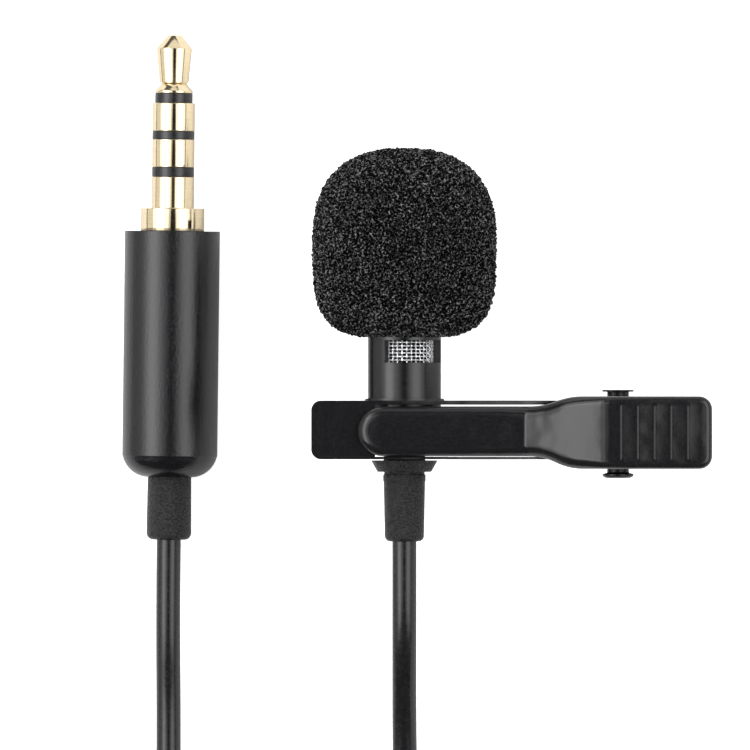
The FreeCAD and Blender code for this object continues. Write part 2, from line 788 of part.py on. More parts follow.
def rear_arm():
    """Stamped arm: end plate, slotted web, rails and lugs bent back, ears bent forward, and the rear pad."""
    piece = body("rear_arm")
    end, bend, start = size.rear_end, size.bend_reach, size.pad_start
    pad_front = pad_back + size.clip_sheet
    sketch = add_sketch(piece, "rear_side", "XZ_Plane", size.rear_top)
    draw(
        sketch,
        [
            (-size.plate_reach, web_back),
            (bend, web_back),
            (start, pad_back),
            (end, pad_back),
            (end, pad_front),
            (start, pad_front),
            (bend, web_front),
            (-size.plate_reach, web_front),
        ],
    )
    strip = pad(piece, "rear_strip", sketch, size.rear_width)
    across = Vector(0, 1, 0)
    first_bend, last_bend = (bend - size.bend_radius).value, (start + size.bend_radius).value
    bends = fillet(
        piece,
        "rear_bends",
        strip,
        size.bend_radius,
        lambda edge, middle: runs_along(edge, across) and first_bend < middle.x < last_bend,
    )
    upright = Vector(0, 0, 1)
    fillet(
        piece,
        "plate_corners",
        bends,
        size.plate_corner,
        lambda edge, middle: runs_along(edge, upright) and middle.x < 0,
    )
    doc.recompute()
    fillet(
        piece,
        "rear_pad_corners",
        piece.Tip,
        size.pad_corner,
        lambda edge, middle: runs_along(edge, upright) and middle.x > start.value,
    )
    doc.recompute()
    slot_top = -size.rear_top - size.upper_rail
    slot_bottom = rear_bottom + size.lower_rail
    sketch = add_sketch(piece, "slot_outline", "XY_Plane")
    draw(
        sketch,
        [
            (-size.slot_start, slot_bottom),
            (size.slot_end, slot_bottom),
            (size.slot_end, slot_top),
            (-size.slot_start, slot_top),
        ],
    )
    pocket(piece, "slot", sketch)
    pivot, ear = size.pivot_reach, size.ear_radius
    lug = size.lug_radius
    ear_foot = web_front - size.rear_drop * (size.rear_ear_start - bend) / slope_length
    wall = [
        (-lug, web_front),
        (-lug, web_back - size.rail_depth),
        (bend, web_back - size.rail_depth),
        (start, pad_back),
        (size.rear_ear_end, pad_back),
        (size.rear_ear_end, pad_front + size.clip_sheet),
        (pivot + ear, pivot_height),
        (pivot - ear, pivot_height),
        (size.rear_ear_start, ear_foot),
        (bend, web_front),
    ]
    walls = (
        ("upper", size.rear_top, size.upper_rail),
        ("lower", -rear_bottom - size.lower_rail, size.lower_rail),
    )
    for word, depth, thickness in walls:
        sketch = add_sketch(piece, word + "_wall_outline", "XZ_Plane", depth)
        draw(sketch, wall)
        pad(piece, word + "_wall", sketch, thickness)
        sketch = add_sketch(piece, word + "_ear_outline", "XZ_Plane", depth)
        draw_circle(sketch, pivot, pivot_height, ear)
        pad(piece, word + "_ear", sketch, thickness)
        sketch = add_sketch(piece, word + "_lug_outline", "XZ_Plane", depth)
        draw(sketch, [(-lug, web_back), (-lug, 0), (lug, 0), (lug, web_back)])
        pad(piece, word + "_lug", sketch, thickness)
        sketch = add_sketch(piece, word + "_lug_end_outline", "XZ_Plane", depth)
        draw_circle(sketch, 0, 0, lug)
        pad(piece, word + "_lug_end", sketch, thickness)
    bore = tube_radius + size.swivel_fit
    sketch = add_sketch(piece, "collar_outline", "XZ_Plane", size.rear_top)
    draw_circle(sketch, 0, 0, bore + size.collar_wall)
    pad(piece, "collar", sketch, size.collar_height, backwards=True)
    holes = (
        ("upper_hole", size.rear_top - size.collar_height, bore, size.collar_height + size.upper_rail),
        ("lower_hole", -rear_bottom - size.lower_rail, neck_radius + size.swivel_fit, size.lower_rail),
    )
    for name, depth, radius, thickness in holes:
        sketch = add_sketch(piece, name + "_outline", "XZ_Plane", depth)
        draw_circle(sketch, 0, 0, radius)
        pocket(piece, name, sketch, thickness)
    sketch = add_sketch(piece, "rear_pin_outline", "XZ_Plane", -rear_bottom / 2)
    draw_circle(sketch, pivot, pivot_height, size.pin_diameter / 2 + size.seat_gap)
    pocket(piece, "rear_pin_hole", sketch)
    return piece


def rib_outline(level):
    """Side view of the thumb pad's ribs: a short steep side and a long gentle one, foot in the sheet."""
    embedded = level - size.rib_height / 2
    start, end = size.rib_first, size.rib_first + size.rib_pitch * PAD_RIBS
    teeth = []
    for index in reversed(range(PAD_RIBS)):
        foot = size.rib_first + size.rib_pitch * index
        teeth += [(foot + size.rib_rise, level + size.rib_height), (foot, level)]
    return [(start, embedded), (end, embedded), (end, level)] + teeth


def front_outline(inset):
    """The front arm as seen from the front: round tip, S-shaped flares and rounded pad, drawn in by inset."""
    half = size.arm_width / 2 - inset
    pad_half = size.pad_width / 2 - inset
    upper, lower = -size.arm_centre + half, -size.arm_centre - half
    pad_upper, pad_lower = -size.pad_centre + pad_half, -size.pad_centre - pad_half
    run = size.flare_end - size.flare_start
    middle = (size.flare_start + size.flare_end) / 2
    tip = -size.tip_reach + inset
    end = size.front_end - inset
    round_end = size.pad_corner - inset
    upper_rise, lower_rise = pad_upper - upper, lower - pad_lower
    upper_bend = (run * run + upper_rise * upper_rise) / (upper_rise * 4)
    lower_bend = (run * run + lower_rise * lower_rise) / (lower_rise * 4)
    # The tip's half round is drawn as two quarter arcs.
    return [
        (tip, -size.arm_centre, half),
        (tip + half, lower),
        (size.flare_start, lower, -lower_bend),
        (middle, (lower + pad_lower) / 2, lower_bend),
        (size.flare_end, pad_lower),
        (end - round_end, pad_lower, round_end),
        (end, pad_lower + round_end),
        (end, pad_upper - round_end, round_end),
        (end - round_end, pad_upper),
        (size.flare_end, pad_upper, upper_bend),
        (middle, (upper + pad_upper) / 2, -upper_bend),
        (size.flare_start, upper),
        (tip + half, upper, half),
    ]


def front_arm():
    """Stamped channel: the space inside is cut from a block that has the arm's side view and front view."""
    bend, start, end = size.bend_reach, size.pad_start, size.front_end
    pivot, ear = size.pivot_reach, size.ear_radius
    edge = web_front + size.jaw_gap
    rim = front_pad - size.clip_sheet - size.pad_lip
    teeth = []
    for index in range(JAW_TEETH):
        foot = -size.tip_reach + size.arm_width / 2 + size.tooth_pitch * index
        teeth += [(foot, edge), (foot + size.tooth_pitch / 2, edge + size.tooth_depth)]
    side = [(-size.tip_reach, edge)] + teeth + [
        (size.jaw_end, edge),
        (pivot - ear, pivot_height - size.tooth_depth),
        (pivot + ear, pivot_height),
        (size.rear_ear_end, rim),
        (end, rim),
        (end, front_pad),
        (start, front_pad),
        (bend, front_face),
        (-size.tip_reach, front_face),
    ]
    tip, pad_end = -size.plate_reach, size.front_end + size.pad_width
    inside = [
        (tip, pad_back),
        (pad_end, pad_back),
        (pad_end, front_pad - size.clip_sheet),
        (start, front_pad - size.clip_sheet),
        (bend, front_back),
        (tip, front_back),
    ]
    top, span = size.pad_width, size.pad_width * 3
    floor, height = pad_back, front_pad - pad_back + size.pad_width
    block = extruded("front_side", [side], "XZ", span, top)
    ears = doc.addObject("Part::Cylinder", "front_ears")
    bind(ears, "Radius", ear)
    bind(ears, "Height", span)
    ears.Placement = FreeCAD.Placement(Vector(), FreeCAD.Rotation(Vector(1, 0, 0), 90))
    bind(ears, ".Placement.Base.x", pivot)
    bind(ears, ".Placement.Base.y", top)
    bind(ears, ".Placement.Base.z", pivot_height)
    outline = extruded("front_plan", [front_outline(formula(0))], "XY", height, floor)
    solid = combined("Common", "front_solid", [combined("Fuse", "front_block", [block, ears]), outline])
    hollow_side = extruded("front_hollow_side", [inside], "XZ", span, top)
    hollow_plan = extruded("front_hollow_plan", [front_outline(size.arm_wall)], "XY", height, floor)
    hollow = combined("Common", "front_hollow", [hollow_side, hollow_plan])
    shell = cut("front_shell", solid, hollow)
    ribs = extruded("front_ribs", [rib_outline(front_pad)], "XZ", size.rib_length, formula(0))
    bind(ribs.Base, ".Placement.Base.y", size.rib_length / 2 - size.pad_centre)
    ribbed = combined("Fuse", "front_ribbed", [shell, ribs])
    hole = doc.addObject("Part::Cylinder", "front_pin_hole")
    bind(hole, "Radius", size.pin_diameter / 2 + size.pin_fit)
    bind(hole, "Height", span)
    hole.Placement = FreeCAD.Placement(Vector(), FreeCAD.Rotation(Vector(1, 0, 0), 90))
    bind(hole, ".Placement.Base.x", pivot)
    bind(hole, ".Placement.Base.y", top)
    bind(hole, ".Placement.Base.z", pivot_height)
    arm = cut("front_arm", ribbed, hole)
    arm.Label = "front_arm"
    return arm


def hinge_pin():
    """Tubular rivet with a flared head at each end, drawn about its own axis."""
    radius, bore, head = size.pin_diameter / 2, size.pin_bore / 2, size.head_diameter / 2
    bottom = size.pin_top - size.pin_length
    return turned(
        "hinge_pin",
        [
            (bore, bottom),
            (head, bottom),
            (head, bottom + size.lower_head),
            (radius, bottom + size.lower_head),
            (radius, size.pin_top - size.upper_head),
            (head, size.pin_top - size.upper_head),
            (head, size.pin_top),
            (bore, size.pin_top),
        ],
    )


def torsion_spring():
    """Four turns round the pin, between the rear ears, and a leg along the inside of each pad."""
    wire = size.spring_wire.value
    radius = size.spring_diameter.value / 2
    pitch = size.spring_pitch.value
    climb = pitch / (2 * math.pi)
    reach = size.spring_leg.value
    seat = size.spring_seat.value + wire / 2
    lift = (front_pad - size.clip_sheet - pivot_height).value - seat
    drop = (pivot_height - pad_back - size.clip_sheet).value - seat
    middle = (rear_bottom + size.lower_rail - size.rear_top - size.upper_rail).value / 2

    def tangent_angle(height):
        """Where a leg that ends at (reach, height) touches the circle of the turns."""
        return math.atan2(height, reach) + math.acos(radius / math.hypot(reach, height))

    first = tangent_angle(lift)
    last = -tangent_angle(drop)
    quarters = 4 * SPRING_TURNS
    total = 2 * math.pi * (SPRING_TURNS + 1) - (first - last)
    start_height = middle + climb * total / 2

    def place(angle):
        turned_by = angle - first
        return Vector(radius * math.cos(angle), start_height - climb * turned_by, radius * math.sin(angle))

    def heading(angle, fall):
        return Vector(-radius * math.sin(angle), -fall, radius * math.cos(angle)).normalize()

    angles = [first + total * index / quarters for index in range(quarters + 1)]
    points = [place(angle) for angle in angles]
    # The legs leave square to the pin, so only the turns between them climb.
    ways = [heading(first, 0)] + [heading(angle, climb) for angle in angles[1:-1]] + [heading(last, 0)]
    leg = math.sqrt(reach * reach + lift * lift - radius * radius)
    edges = [Part.LineSegment(points[0] - ways[0] * leg, points[0]).toShape()]
    for index in range(quarters):
        edges += biarc(points[index], ways[index], points[index + 1], ways[index + 1])
    leg = math.sqrt(reach * reach + drop * drop - radius * radius)
    edges.append(Part.LineSegment(points[-1], points[-1] + ways[-1] * leg).toShape())
    solid, length = pipe(edges, wire)
    report_pipe("torsion_spring", solid, length, wire)
    print("torsion_spring: least gap to itself %.2f mm" % least_gap(edges, wire, radius * math.pi))
    return shaped("torsion_spring", solid)


# Plug: heights are counted from the housing's front face towards the tip

contact_radius = size.contact_diameter / 2
sleeve_front = size.sleeve_end
second_back = sleeve_front + size.sleeve_band
second_front = second_back + size.second_band
first_back = second_front + size.middle_band
first_front = first_back + size.first_band
tip_back = first_front + size.tip_band
tip_front = tip_back + size.tip_length
rod_radius = size.rod_diameter / 2
housing_radius = size.housing_diameter / 2
cavity_radius = housing_radius - size.housing_wall


def layer_radius(number):
    """Inner radius of the plug's inner sleeves, counted outwards from the rod."""
    return rod_radius + size.layer * number


def layer_tail(number):
    return -size.rod_tail + size.tail_step * number


def plug_tip():
    """The tip with its click groove, in one piece with the rod."""
    cone = tip_front - size.tip_cone_height
    return turned(
        "plug_tip",
        [
            (0, -size.rod_tail),
            (rod_radius, -size.rod_tail),
            (rod_radius, tip_back),
            (size.tip_shoulder_diameter / 2, tip_back),
            (size.tip_shoulder_diameter / 2, tip_back + size.tip_shoulder),
            (size.tip_flank_diameter / 2, tip_back + size.tip_groove_start),
            (size.tip_groove_diameter / 2, tip_back + size.tip_groove_end),
            (size.tip_waist_diameter / 2, tip_back + size.tip_groove_end),
            (size.tip_cone_diameter / 2, cone),
            (size.tip_end_diameter / 2, tip_front),
            (0, tip_front),
        ],
    )


def stacked(name, number, back, front, outer):
    """A band of the plug with the inner sleeve that leads it back into the housing."""
    inner = layer_radius(number)
    sleeve = layer_radius(number + 1) - size.seat_gap
    tail = layer_tail(number + 1)
    return turned(
        name,
        [(inner, tail), (sleeve, tail), (sleeve, back), (outer, back), (outer, front), (inner, front)],
    )


def plug_sleeve():
    """Sleeve contact with the wide collar that sits on the housing."""
    inner = layer_radius(5)
    collar = size.collar_diameter / 2
    tail = layer_tail(6)
    return turned(
        "plug_sleeve",
        [
            (inner, tail),
            (contact_radius, tail),
            (contact_radius, 0),
            (collar, 0),
            (collar, size.collar_length),
            (contact_radius, size.collar_length),
            (contact_radius, sleeve_front),
            (inner, sleeve_front),
        ],
    )


def plug_housing():
    """Black barrel, rounded at the rear, where the boot comes out."""
    boot = size.plug_boot_diameter / 2 + size.seat_gap
    hole = contact_radius + size.seat_gap
    return turned(
        "plug_housing",
        [
            (boot, -size.housing_length),
            (size.plug_boot_diameter / 2 + 2 * size.seat_gap, -size.housing_length, size.housing_round),
            (housing_radius, -size.housing_crease),
            (housing_radius, 0),
            (hole, 0),
            (hole, -size.housing_face),
            (cavity_radius, -size.housing_face),
            (cavity_radius, -size.housing_floor),
            (boot, -size.housing_floor),
        ],
    )


def plug_core():
    inner = contact_radius + size.seat_gap
    back = -size.housing_face - size.core_length
    return ring("plug_core", inner, cavity_radius - size.seat_gap, back, -size.housing_face)


plug_cable_top = -size.housing_floor + size.boot_flange_length + size.plug_cable_tail


def plug_wires():
    """A wire from the sleeve and one from the second ring, each in a gentle S to the cable's end."""
    radius = size.plug_wire_diameter.value / 2
    sleeve_middle = (layer_radius(5) + contact_radius).value / 2
    ring_middle = (layer_radius(3) + layer_radius(4) - size.seat_gap).value / 2
    back = Vector(0, -1, 0)
    wires = []
    for across, tail, side in ((sleeve_middle, layer_tail(6), 1), (ring_middle, layer_tail(4), -1)):
        start = Vector(side * across, tail.value, 0)
        end = Vector(side * size.wire_offset.value, plug_cable_top.value, 0)
        solid, _ = pipe(biarc(start, back, end, back), 2 * radius)
        wires.append(solid)
    return shaped("plug_wires", Part.makeCompound(wires))


def plug_cable_end():
    return disc("plug_cable_end", cable_radius, -size.plug_boot_reach, plug_cable_top)


def plug_boot():
    """Rubber strain relief, held in the housing by its flange."""
    root, foot = size.plug_boot_diameter / 2, size.plug_boot_end_diameter / 2
    corner = size.plug_boot_corner
    flange = size.boot_flange_diameter / 2
    end = -size.plug_boot_reach
    floor = -size.housing_floor
    return turned(
        "plug_boot",
        [
            (boot_bore, end),
            (foot - corner, end, corner),
            (foot, end + corner),
            (root, -size.housing_length),
            (root, floor),
            (flange, floor),
            (flange, floor + size.boot_flange_length),
            (boot_bore, floor + size.boot_flange_length),
        ],
    )


# Cable. Its points are chosen by hand: X and Y from the microphone boot's end, Z from the table.

FLOOR = 1.0
MIC_LEAD = (
    (0.0, 0.0, 7.535),
    (0.0, -6.5, 7.535),
    (-1.6, -16.0, 2.5),
    (-1.9, -25.5, FLOOR),
    (2.4, -33.5, FLOOR),
    (4.95, -41.0, FLOOR),
    (4.95, -48.0, FLOOR),
)
PLUG_LEAD = (
    (-21.5, 0.03, 3.92),
    (-21.573, -5.97, 3.92),
    (-22.3, -14.5, 1.5),
    (-22.5, -23.0, FLOOR),
    (-24.3, -31.0, 3.2),
    (-27.2, -37.5, 6.9),
    (-28.505, -42.5, 8.5),
    (-28.505, -48.0, 8.5),
)
COIL_CENTRE_Y = -50.0
COIL_PITCH = 2.45
COIL_LAYER = 2.5
# Number of quarter turns in each of the four layers: in, out, in, out.
QUARTERS_PER_LAYER = (20, 19, 20, 19)


def coil_points():
    """Quarter turns of a spiral that goes in and out and climbs a layer round each reversal."""
    start = MIC_LEAD[-1]
    radius = (start[0] - PLUG_LEAD[-1][0]) / 2 + COIL_PITCH / 4
    centre = Vector(start[0] - radius, COIL_CENTRE_Y, 0)
    reversals = [sum(QUARTERS_PER_LAYER[: index + 1]) for index in range(len(QUARTERS_PER_LAYER) - 1)]
    points, ways = [], []
    inward = -1
    for quarter in range(sum(QUARTERS_PER_LAYER) + 1):
        climbed = sum(min(1.0, max(0.0, (quarter - turn + 1) / 2)) for turn in reversals)
        climbing = sum(1 for turn in reversals if quarter == turn)
        angle = quarter * math.pi / 2
        outwards = Vector(math.cos(angle), -math.sin(angle), 0)
        along = Vector(-math.sin(angle), -math.cos(angle), 0)
        points.append(centre + outwards * radius + Vector(0, 0, FLOOR + COIL_LAYER * climbed))
        drift = 0 if climbing or quarter == 0 else inward * COIL_PITCH / (2 * math.pi)
        rise = climbing * COIL_LAYER * 2 / math.pi
        ways.append((along * radius + outwards * drift + Vector(0, 0, rise)).normalize())
        if quarter in reversals:
            inward = -inward
        radius += inward * COIL_PITCH / 4
    ways[-1] = Vector(0, 1, 0)
    return points, ways


def cable_coil():
    points, ways = coil_points()
    straight = size.cable_diameter.value
    start = points[0] - ways[0] * straight
    end = points[-1] + ways[-1] * straight
    edges = [Part.LineSegment(start, points[0]).toShape()]
    for index in range(len(points) - 1):
        edges += biarc(points[index], ways[index], points[index + 1], ways[index + 1])
    edges.append(Part.LineSegment(points[-1], end).toShape())
    solid, length = pipe(edges, size.cable_diameter.value)
    report_pipe("cable_coil", solid, length, size.cable_diameter.value)
    gap = least_gap(edges, size.cable_diameter.value, 5 * size.cable_diameter.value)
    print("cable_coil: least gap to itself %.2f mm" % gap)
    return shaped("cable_coil", solid), length


def lead(name, route):
    edges, radii = rounded_route([Vector(*point) for point in route])
    solid, length = pipe(edges, size.cable_diameter.value)
    report_pipe(name, solid, length, size.cable_diameter.value)
    print("%s: radii %s mm" % (name, ", ".join("%.1f" % radius for radius in radii)))
    return shaped(name, solid), length


# Building and placing

microphone = [
    foam_windscreen(),
    mic_tube(),
    head_grille(),
    window_mesh(),
    capsule_gasket(),
    capsule_can(),
    capsule_diaphragm(),
    capsule_spacer(),
    capsule_backplate(),
    capsule_holder(),
    capsule_contact(),
    capsule_board(),
    capsule_wires(),
    tail_plug(),
    cable_ferrule(),
    mic_cable_end(),
    mic_boot(),
]
transistor = capsule_transistor()
arms = [rear_arm(), front_arm()]
pin, spring = hinge_pin(), torsion_spring()
plug = [
    plug_tip(),
    stacked("tip_insulator", 0, first_front, tip_back, size.tip_band_diameter / 2),
    stacked("first_ring", 1, first_back, first_front, contact_radius),
    stacked("ring_insulator", 2, second_front, first_back, contact_radius),
    stacked("second_ring", 3, second_back, second_front, contact_radius),
    stacked("sleeve_insulator", 4, sleeve_front, second_back, contact_radius),
    plug_sleeve(),
    plug_core(),
    plug_wires(),
    plug_cable_end(),
    plug_housing(),
    plug_boot(),
]
leads = [lead("mic_lead", MIC_LEAD), lead("plug_lead", PLUG_LEAD), cable_coil()]
print("cable: %.0f mm from boot to boot" % sum(length for _, length in leads))
doc.recompute()

# The lean that puts both the foam and the end of the rear pad on the table.
foam_radius = (size.foam_diameter / 2).value
pad_reach, pad_height = size.rear_end.value, pad_back.value
lean = math.asin(foam_radius / math.hypot(pad_reach, pad_height)) + math.atan2(pad_height, pad_reach)
leaning = FreeCAD.Rotation(Vector(0, 1, 0), math.degrees(lean))
resting = FreeCAD.Placement(Vector(0, 0, foam_radius), leaning)


def reach_of(pieces):
    """Box round the pieces as they rest, tight to their surfaces."""
    box = FreeCAD.BoundBox()
    for piece in pieces:
        shape = piece.Shape.copy()
        shape.transformShape(resting.toMatrix(), False)
        box.add(shape.optimalBoundingBox(False, False))
    return box


# The origin is under the middle of microphone and clip, on the table.
box = reach_of(microphone + arms)
shift = Vector(-box.Center.x, -box.Center.y, -box.ZMin)
seat = FreeCAD.Placement(shift, FreeCAD.Rotation()).multiply(resting)
for piece in microphone + arms:
    piece.Placement = seat.multiply(piece.Placement)
chip_spot = Vector(-size.chip_length.value / 2, board_top.value, -size.chip_width.value / 2)
transistor.Placement = seat.multiply(FreeCAD.Placement(chip_spot, FreeCAD.Rotation()))
pivot_spot = FreeCAD.Placement(Vector(size.pivot_reach.value, 0, pivot_height.value), FreeCAD.Rotation())
for piece in (pin, spring):
    piece.Placement = seat.multiply(pivot_spot)
mic_exit = seat.multVec(Vector(0, boot_end.value, 0))
for piece, _ in leads:
    piece.Placement = FreeCAD.Placement(Vector(mic_exit.x, mic_exit.y, 0), FreeCAD.Rotation())
turning = FreeCAD.Rotation(Vector(0, 0, 1), -size.plug_lean.value)
plug_exit = Vector(
    mic_exit.x - size.plug_across.value, shift.y - size.plug_along.value, housing_radius.value
)
plug_seat = FreeCAD.Placement(plug_exit, turning).multiply(
    FreeCAD.Placement(Vector(0, size.plug_boot_reach.value, 0), FreeCAD.Rotation())
)
for piece in plug:
    piece.Placement = plug_seat
doc.recompute()

# Checks and export

nodes = microphone + [transistor] + arms + [pin, spring] + [piece for piece, _ in leads] + plug
for item in doc.Objects:
    if "Invalid" in item.State or "Error" in item.State:
        raise RuntimeError("%s failed: %s" % (item.Name, item.State))
for piece in nodes:
    if piece.Shape.isNull() or not piece.Shape.isValid():
        raise RuntimeError("%s has no valid shape" % piece.Label)

os.makedirs("parts", exist_ok=True)
for piece in nodes:
    piece.Shape.exportStep("parts/%s.step" % piece.Label)
print("lean %.2f degrees, microphone axis at X %.3f, Z %.3f" % (math.degrees(lean), mic_exit.x, mic_exit.z))
print("microphone cable exit at Y %.3f" % mic_exit.y)
print("plug cable exit at X %.3f, Y %.3f" % (plug_exit.x, plug_exit.y))
pivot_point = seat.multVec(pivot_spot.Base)
print("hinge axis at X %.3f, Z %.3f; clip's edge at Y %.3f" % (pivot_point.x, pivot_point.z, shift.y))
print("%d nodes written" % len(nodes))
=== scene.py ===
# %% [markdown]
# # Dressing a clip-on lavalier microphone
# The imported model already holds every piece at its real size. This script gives the pieces their
# visible form and finish: a porous foam ball, a stamped spring clip, a woven steel window, a gold
# plug and a thin cable. Everything is in metres, in the model's own frame, so no piece is fitted.

# %% Load the model
import json
import math

import bmesh
import bpy
from mathutils import Matrix, Vector


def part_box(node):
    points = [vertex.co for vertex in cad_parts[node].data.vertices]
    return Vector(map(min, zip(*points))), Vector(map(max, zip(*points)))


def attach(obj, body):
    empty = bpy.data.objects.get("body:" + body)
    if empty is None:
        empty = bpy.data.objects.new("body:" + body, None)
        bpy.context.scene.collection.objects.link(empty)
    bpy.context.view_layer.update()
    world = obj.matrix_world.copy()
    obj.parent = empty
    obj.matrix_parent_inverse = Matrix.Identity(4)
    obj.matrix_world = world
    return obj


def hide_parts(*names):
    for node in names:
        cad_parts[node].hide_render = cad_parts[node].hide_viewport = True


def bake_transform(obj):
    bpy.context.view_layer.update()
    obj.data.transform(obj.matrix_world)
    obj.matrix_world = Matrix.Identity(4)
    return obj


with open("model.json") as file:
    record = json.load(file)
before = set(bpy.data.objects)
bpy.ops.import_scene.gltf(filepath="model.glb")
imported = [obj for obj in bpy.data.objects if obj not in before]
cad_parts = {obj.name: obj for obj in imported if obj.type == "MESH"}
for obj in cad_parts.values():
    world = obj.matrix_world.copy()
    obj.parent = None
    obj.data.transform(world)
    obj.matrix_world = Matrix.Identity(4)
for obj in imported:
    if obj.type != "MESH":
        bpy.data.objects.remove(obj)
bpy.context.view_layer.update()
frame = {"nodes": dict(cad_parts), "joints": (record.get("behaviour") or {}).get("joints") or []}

MM = 0.001

# %% [markdown]
# ## The clip's own directions
# The microphone lies on its foam and on the end of the rear thumb pad, so the clip leans on the
# table. It is easier to model the clip as a designer draws it: X along the arms, Y along the
# microphone and Z out of the clip's front, with the microphone's axis at X = Z = 0. One matrix
# then leans the finished mesh. Its angle follows from where the frame puts the hinge.

# %% Find the lean
PIVOT_ACROSS = 17.47
PIVOT_HEIGHT = 4.075
CLIP_EDGE_BELOW_TUBE_TOP = 14.5

foam_low, foam_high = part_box("foam_windscreen")
tube_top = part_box("mic_tube")[1].y
axis_x = (foam_low.x + foam_high.x) / 2
axis_z = (foam_low.z + foam_high.z) / 2
clip_edge = tube_top - CLIP_EDGE_BELOW_TUBE_TOP * MM
hinge = [joint for joint in frame["joints"] if joint["name"] == "clip_hinge"][0]
pivot = Vector(hinge["pos_m"])
lean = math.atan2(PIVOT_HEIGHT, PIVOT_ACROSS) - math.atan2(pivot.z - axis_z, pivot.x - axis_x)
seat = Matrix.Translation((axis_x, clip_edge, axis_z)) @ Matrix.Rotation(lean, 4, "Y")
print("the clip leans %.2f degrees" % math.degrees(lean))

# %% [markdown]
# ## Camera
# The photograph looks straight at the clip's front, so the camera looks down the leaning Z axis.
# A long lens keeps the plug and the foam at one scale. The picture is square and shows 61.5 mm.

# %% Place the camera
PICTURE_WIDTH = 61.475
PICTURE_CENTRE = (-2.41, 2.05)
CAMERA_DISTANCE = 2000.0
SENSOR = 36.0


def add_object(name, data):
    """A new object in the scene that shows the data."""
    added = bpy.data.objects.new(name, data)
    bpy.context.collection.objects.link(added)
    return added


camera_data = bpy.data.cameras.new("camera")
camera_data.sensor_width = SENSOR
camera_data.lens = SENSOR * CAMERA_DISTANCE / PICTURE_WIDTH
camera_data.clip_start = 0.05
camera = add_object("camera", camera_data)
camera.matrix_world = seat @ Matrix.Translation(
    (PICTURE_CENTRE[0] * MM, PICTURE_CENTRE[1] * MM, CAMERA_DISTANCE * MM)
)
bpy.context.scene.camera = camera
print("lens %.0f mm" % camera_data.lens)

# %% [markdown]
# ## Cable
# A thin cable is a curve with a round bevel. Its control points are the ones the solid cable was
# built with, so it lies in the same place, and the smooth spline rounds their corners. The coil is
# a spiral that goes in and out in four layers, with twelve points to a turn.

# %% Route of the cable
CABLE_DIAMETER = 2.0
FLOOR = CABLE_DIAMETER / 2  # the height of its middle where it lies on the floor
MIC_LEAD = (
    (0.0, 0.0, 7.535),
    (0.0, -6.5, 7.535),
    (-1.6, -16.0, 2.5),
    (-1.9, -25.5, FLOOR),
    (2.4, -33.5, FLOOR),
    (4.95, -41.0, FLOOR),
    (4.95, -48.0, FLOOR),
)
PLUG_LEAD = (
    (-21.499, 0.068, 3.92),
    (-21.573, -5.97, 3.92),
    (-22.3, -14.5, 1.5),
    (-22.5, -23.0, FLOOR),
    (-24.3, -31.0, 3.2),
    (-27.2, -37.5, 6.9),
    (-28.505, -42.5, 8.5),
    (-28.505, -48.0, 8.5),
)
COIL_CENTRE_Y = -50.0
COIL_PITCH = 2.45
COIL_LAYER = 2.5
QUARTERS_PER_LAYER = (20, 19, 20, 19)
POINTS_PER_QUARTER = 3

# The route is measured from the end of the microphone's boot, and its heights from the floor.
cable_origin = Vector((axis_x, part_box("mic_boot")[0].y, 0))


def coil_points():
    """Control points of the coil, from the microphone's lead to the plug's."""
    start_x = MIC_LEAD[-1][0]
    outer = (start_x - PLUG_LEAD[-1][0]) / 2 + COIL_PITCH / 4
    centre_x = start_x - outer
    reversals = [sum(QUARTERS_PER_LAYER[: index + 1]) for index in range(3)]
    step = math.pi / 2 / POINTS_PER_QUARTER
    # A spline runs inside the points that bend it, so these lie a little outside the turns.
    spread = 1 / (0.75 + 0.25 * math.cos(step))
    radii, radius, inward = [], outer, -1
    for quarter in range(sum(QUARTERS_PER_LAYER) + 1):
        radii.append(radius)
        if quarter in reversals:
            inward = -inward
        radius += inward * COIL_PITCH / 4
    points = []
    for index in range(1, sum(QUARTERS_PER_LAYER) * POINTS_PER_QUARTER):
        turns = index / POINTS_PER_QUARTER
        low = int(turns)
        radius = radii[low] + (radii[low + 1] - radii[low]) * (turns - low)
        climbed = sum(min(1.0, max(0.0, (turns - reversal + 1) / 2)) for reversal in reversals)
        angle = turns * math.pi / 2
        across, along = radius * spread * math.cos(angle), radius * spread * math.sin(angle)
        points.append((centre_x + across, COIL_CENTRE_Y - along, FLOOR + COIL_LAYER * climbed))
    return points


# %% Lay the cable
def draw_spline(name, places, steps, closed=False):
    """A curve along one smooth spline. The places of its control points are in metres."""
    curve = bpy.data.curves.new(name, "CURVE")
    curve.dimensions = "3D"
    curve.use_fill_caps = not closed
    spline = curve.splines.new("NURBS")
    spline.points.add(len(places) - 1)
    for point, place in zip(spline.points, places):
        point.co = (*place, 1)
    spline.order_u = 3
    spline.use_cyclic_u = closed
    spline.use_endpoint_u = not closed
    spline.resolution_u = steps
    return add_object(name, curve)


route = list(MIC_LEAD) + coil_points() + list(reversed(PLUG_LEAD))
cable = draw_spline("cable", [cable_origin + Vector(spot) * MM for spot in route], steps=6)
# The points carry the radius, which also keeps the curve's bounding box true.
for point in cable.data.splines[0].points:
    point.radius = CABLE_DIAMETER / 2 * MM
cable.data.bevel_depth = 1.0
cable.data.bevel_resolution = 6
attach(cable, "clip_base")
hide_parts("mic_lead", "cable_coil", "plug_lead")
print("cable route has %d points" % len(route))

# %% [markdown]
# ## Nodes
# Lights, finishes and patterns are trees of nodes in Blender. Each node is added here with all that
# feeds its inputs, which is either a plain value or the output of another node. Written that way, a
# tree reads from its first node to its last.

# %% Node helpers


def feed(tree, node, inputs):
    """Feeds a node's inputs with plain values or with other nodes' outputs."""
    for name, value in inputs.items():
        if isinstance(value, bpy.types.NodeSocket):
            tree.links.new(value, node.inputs[name])
        else:
            node.inputs[name].default_value = value


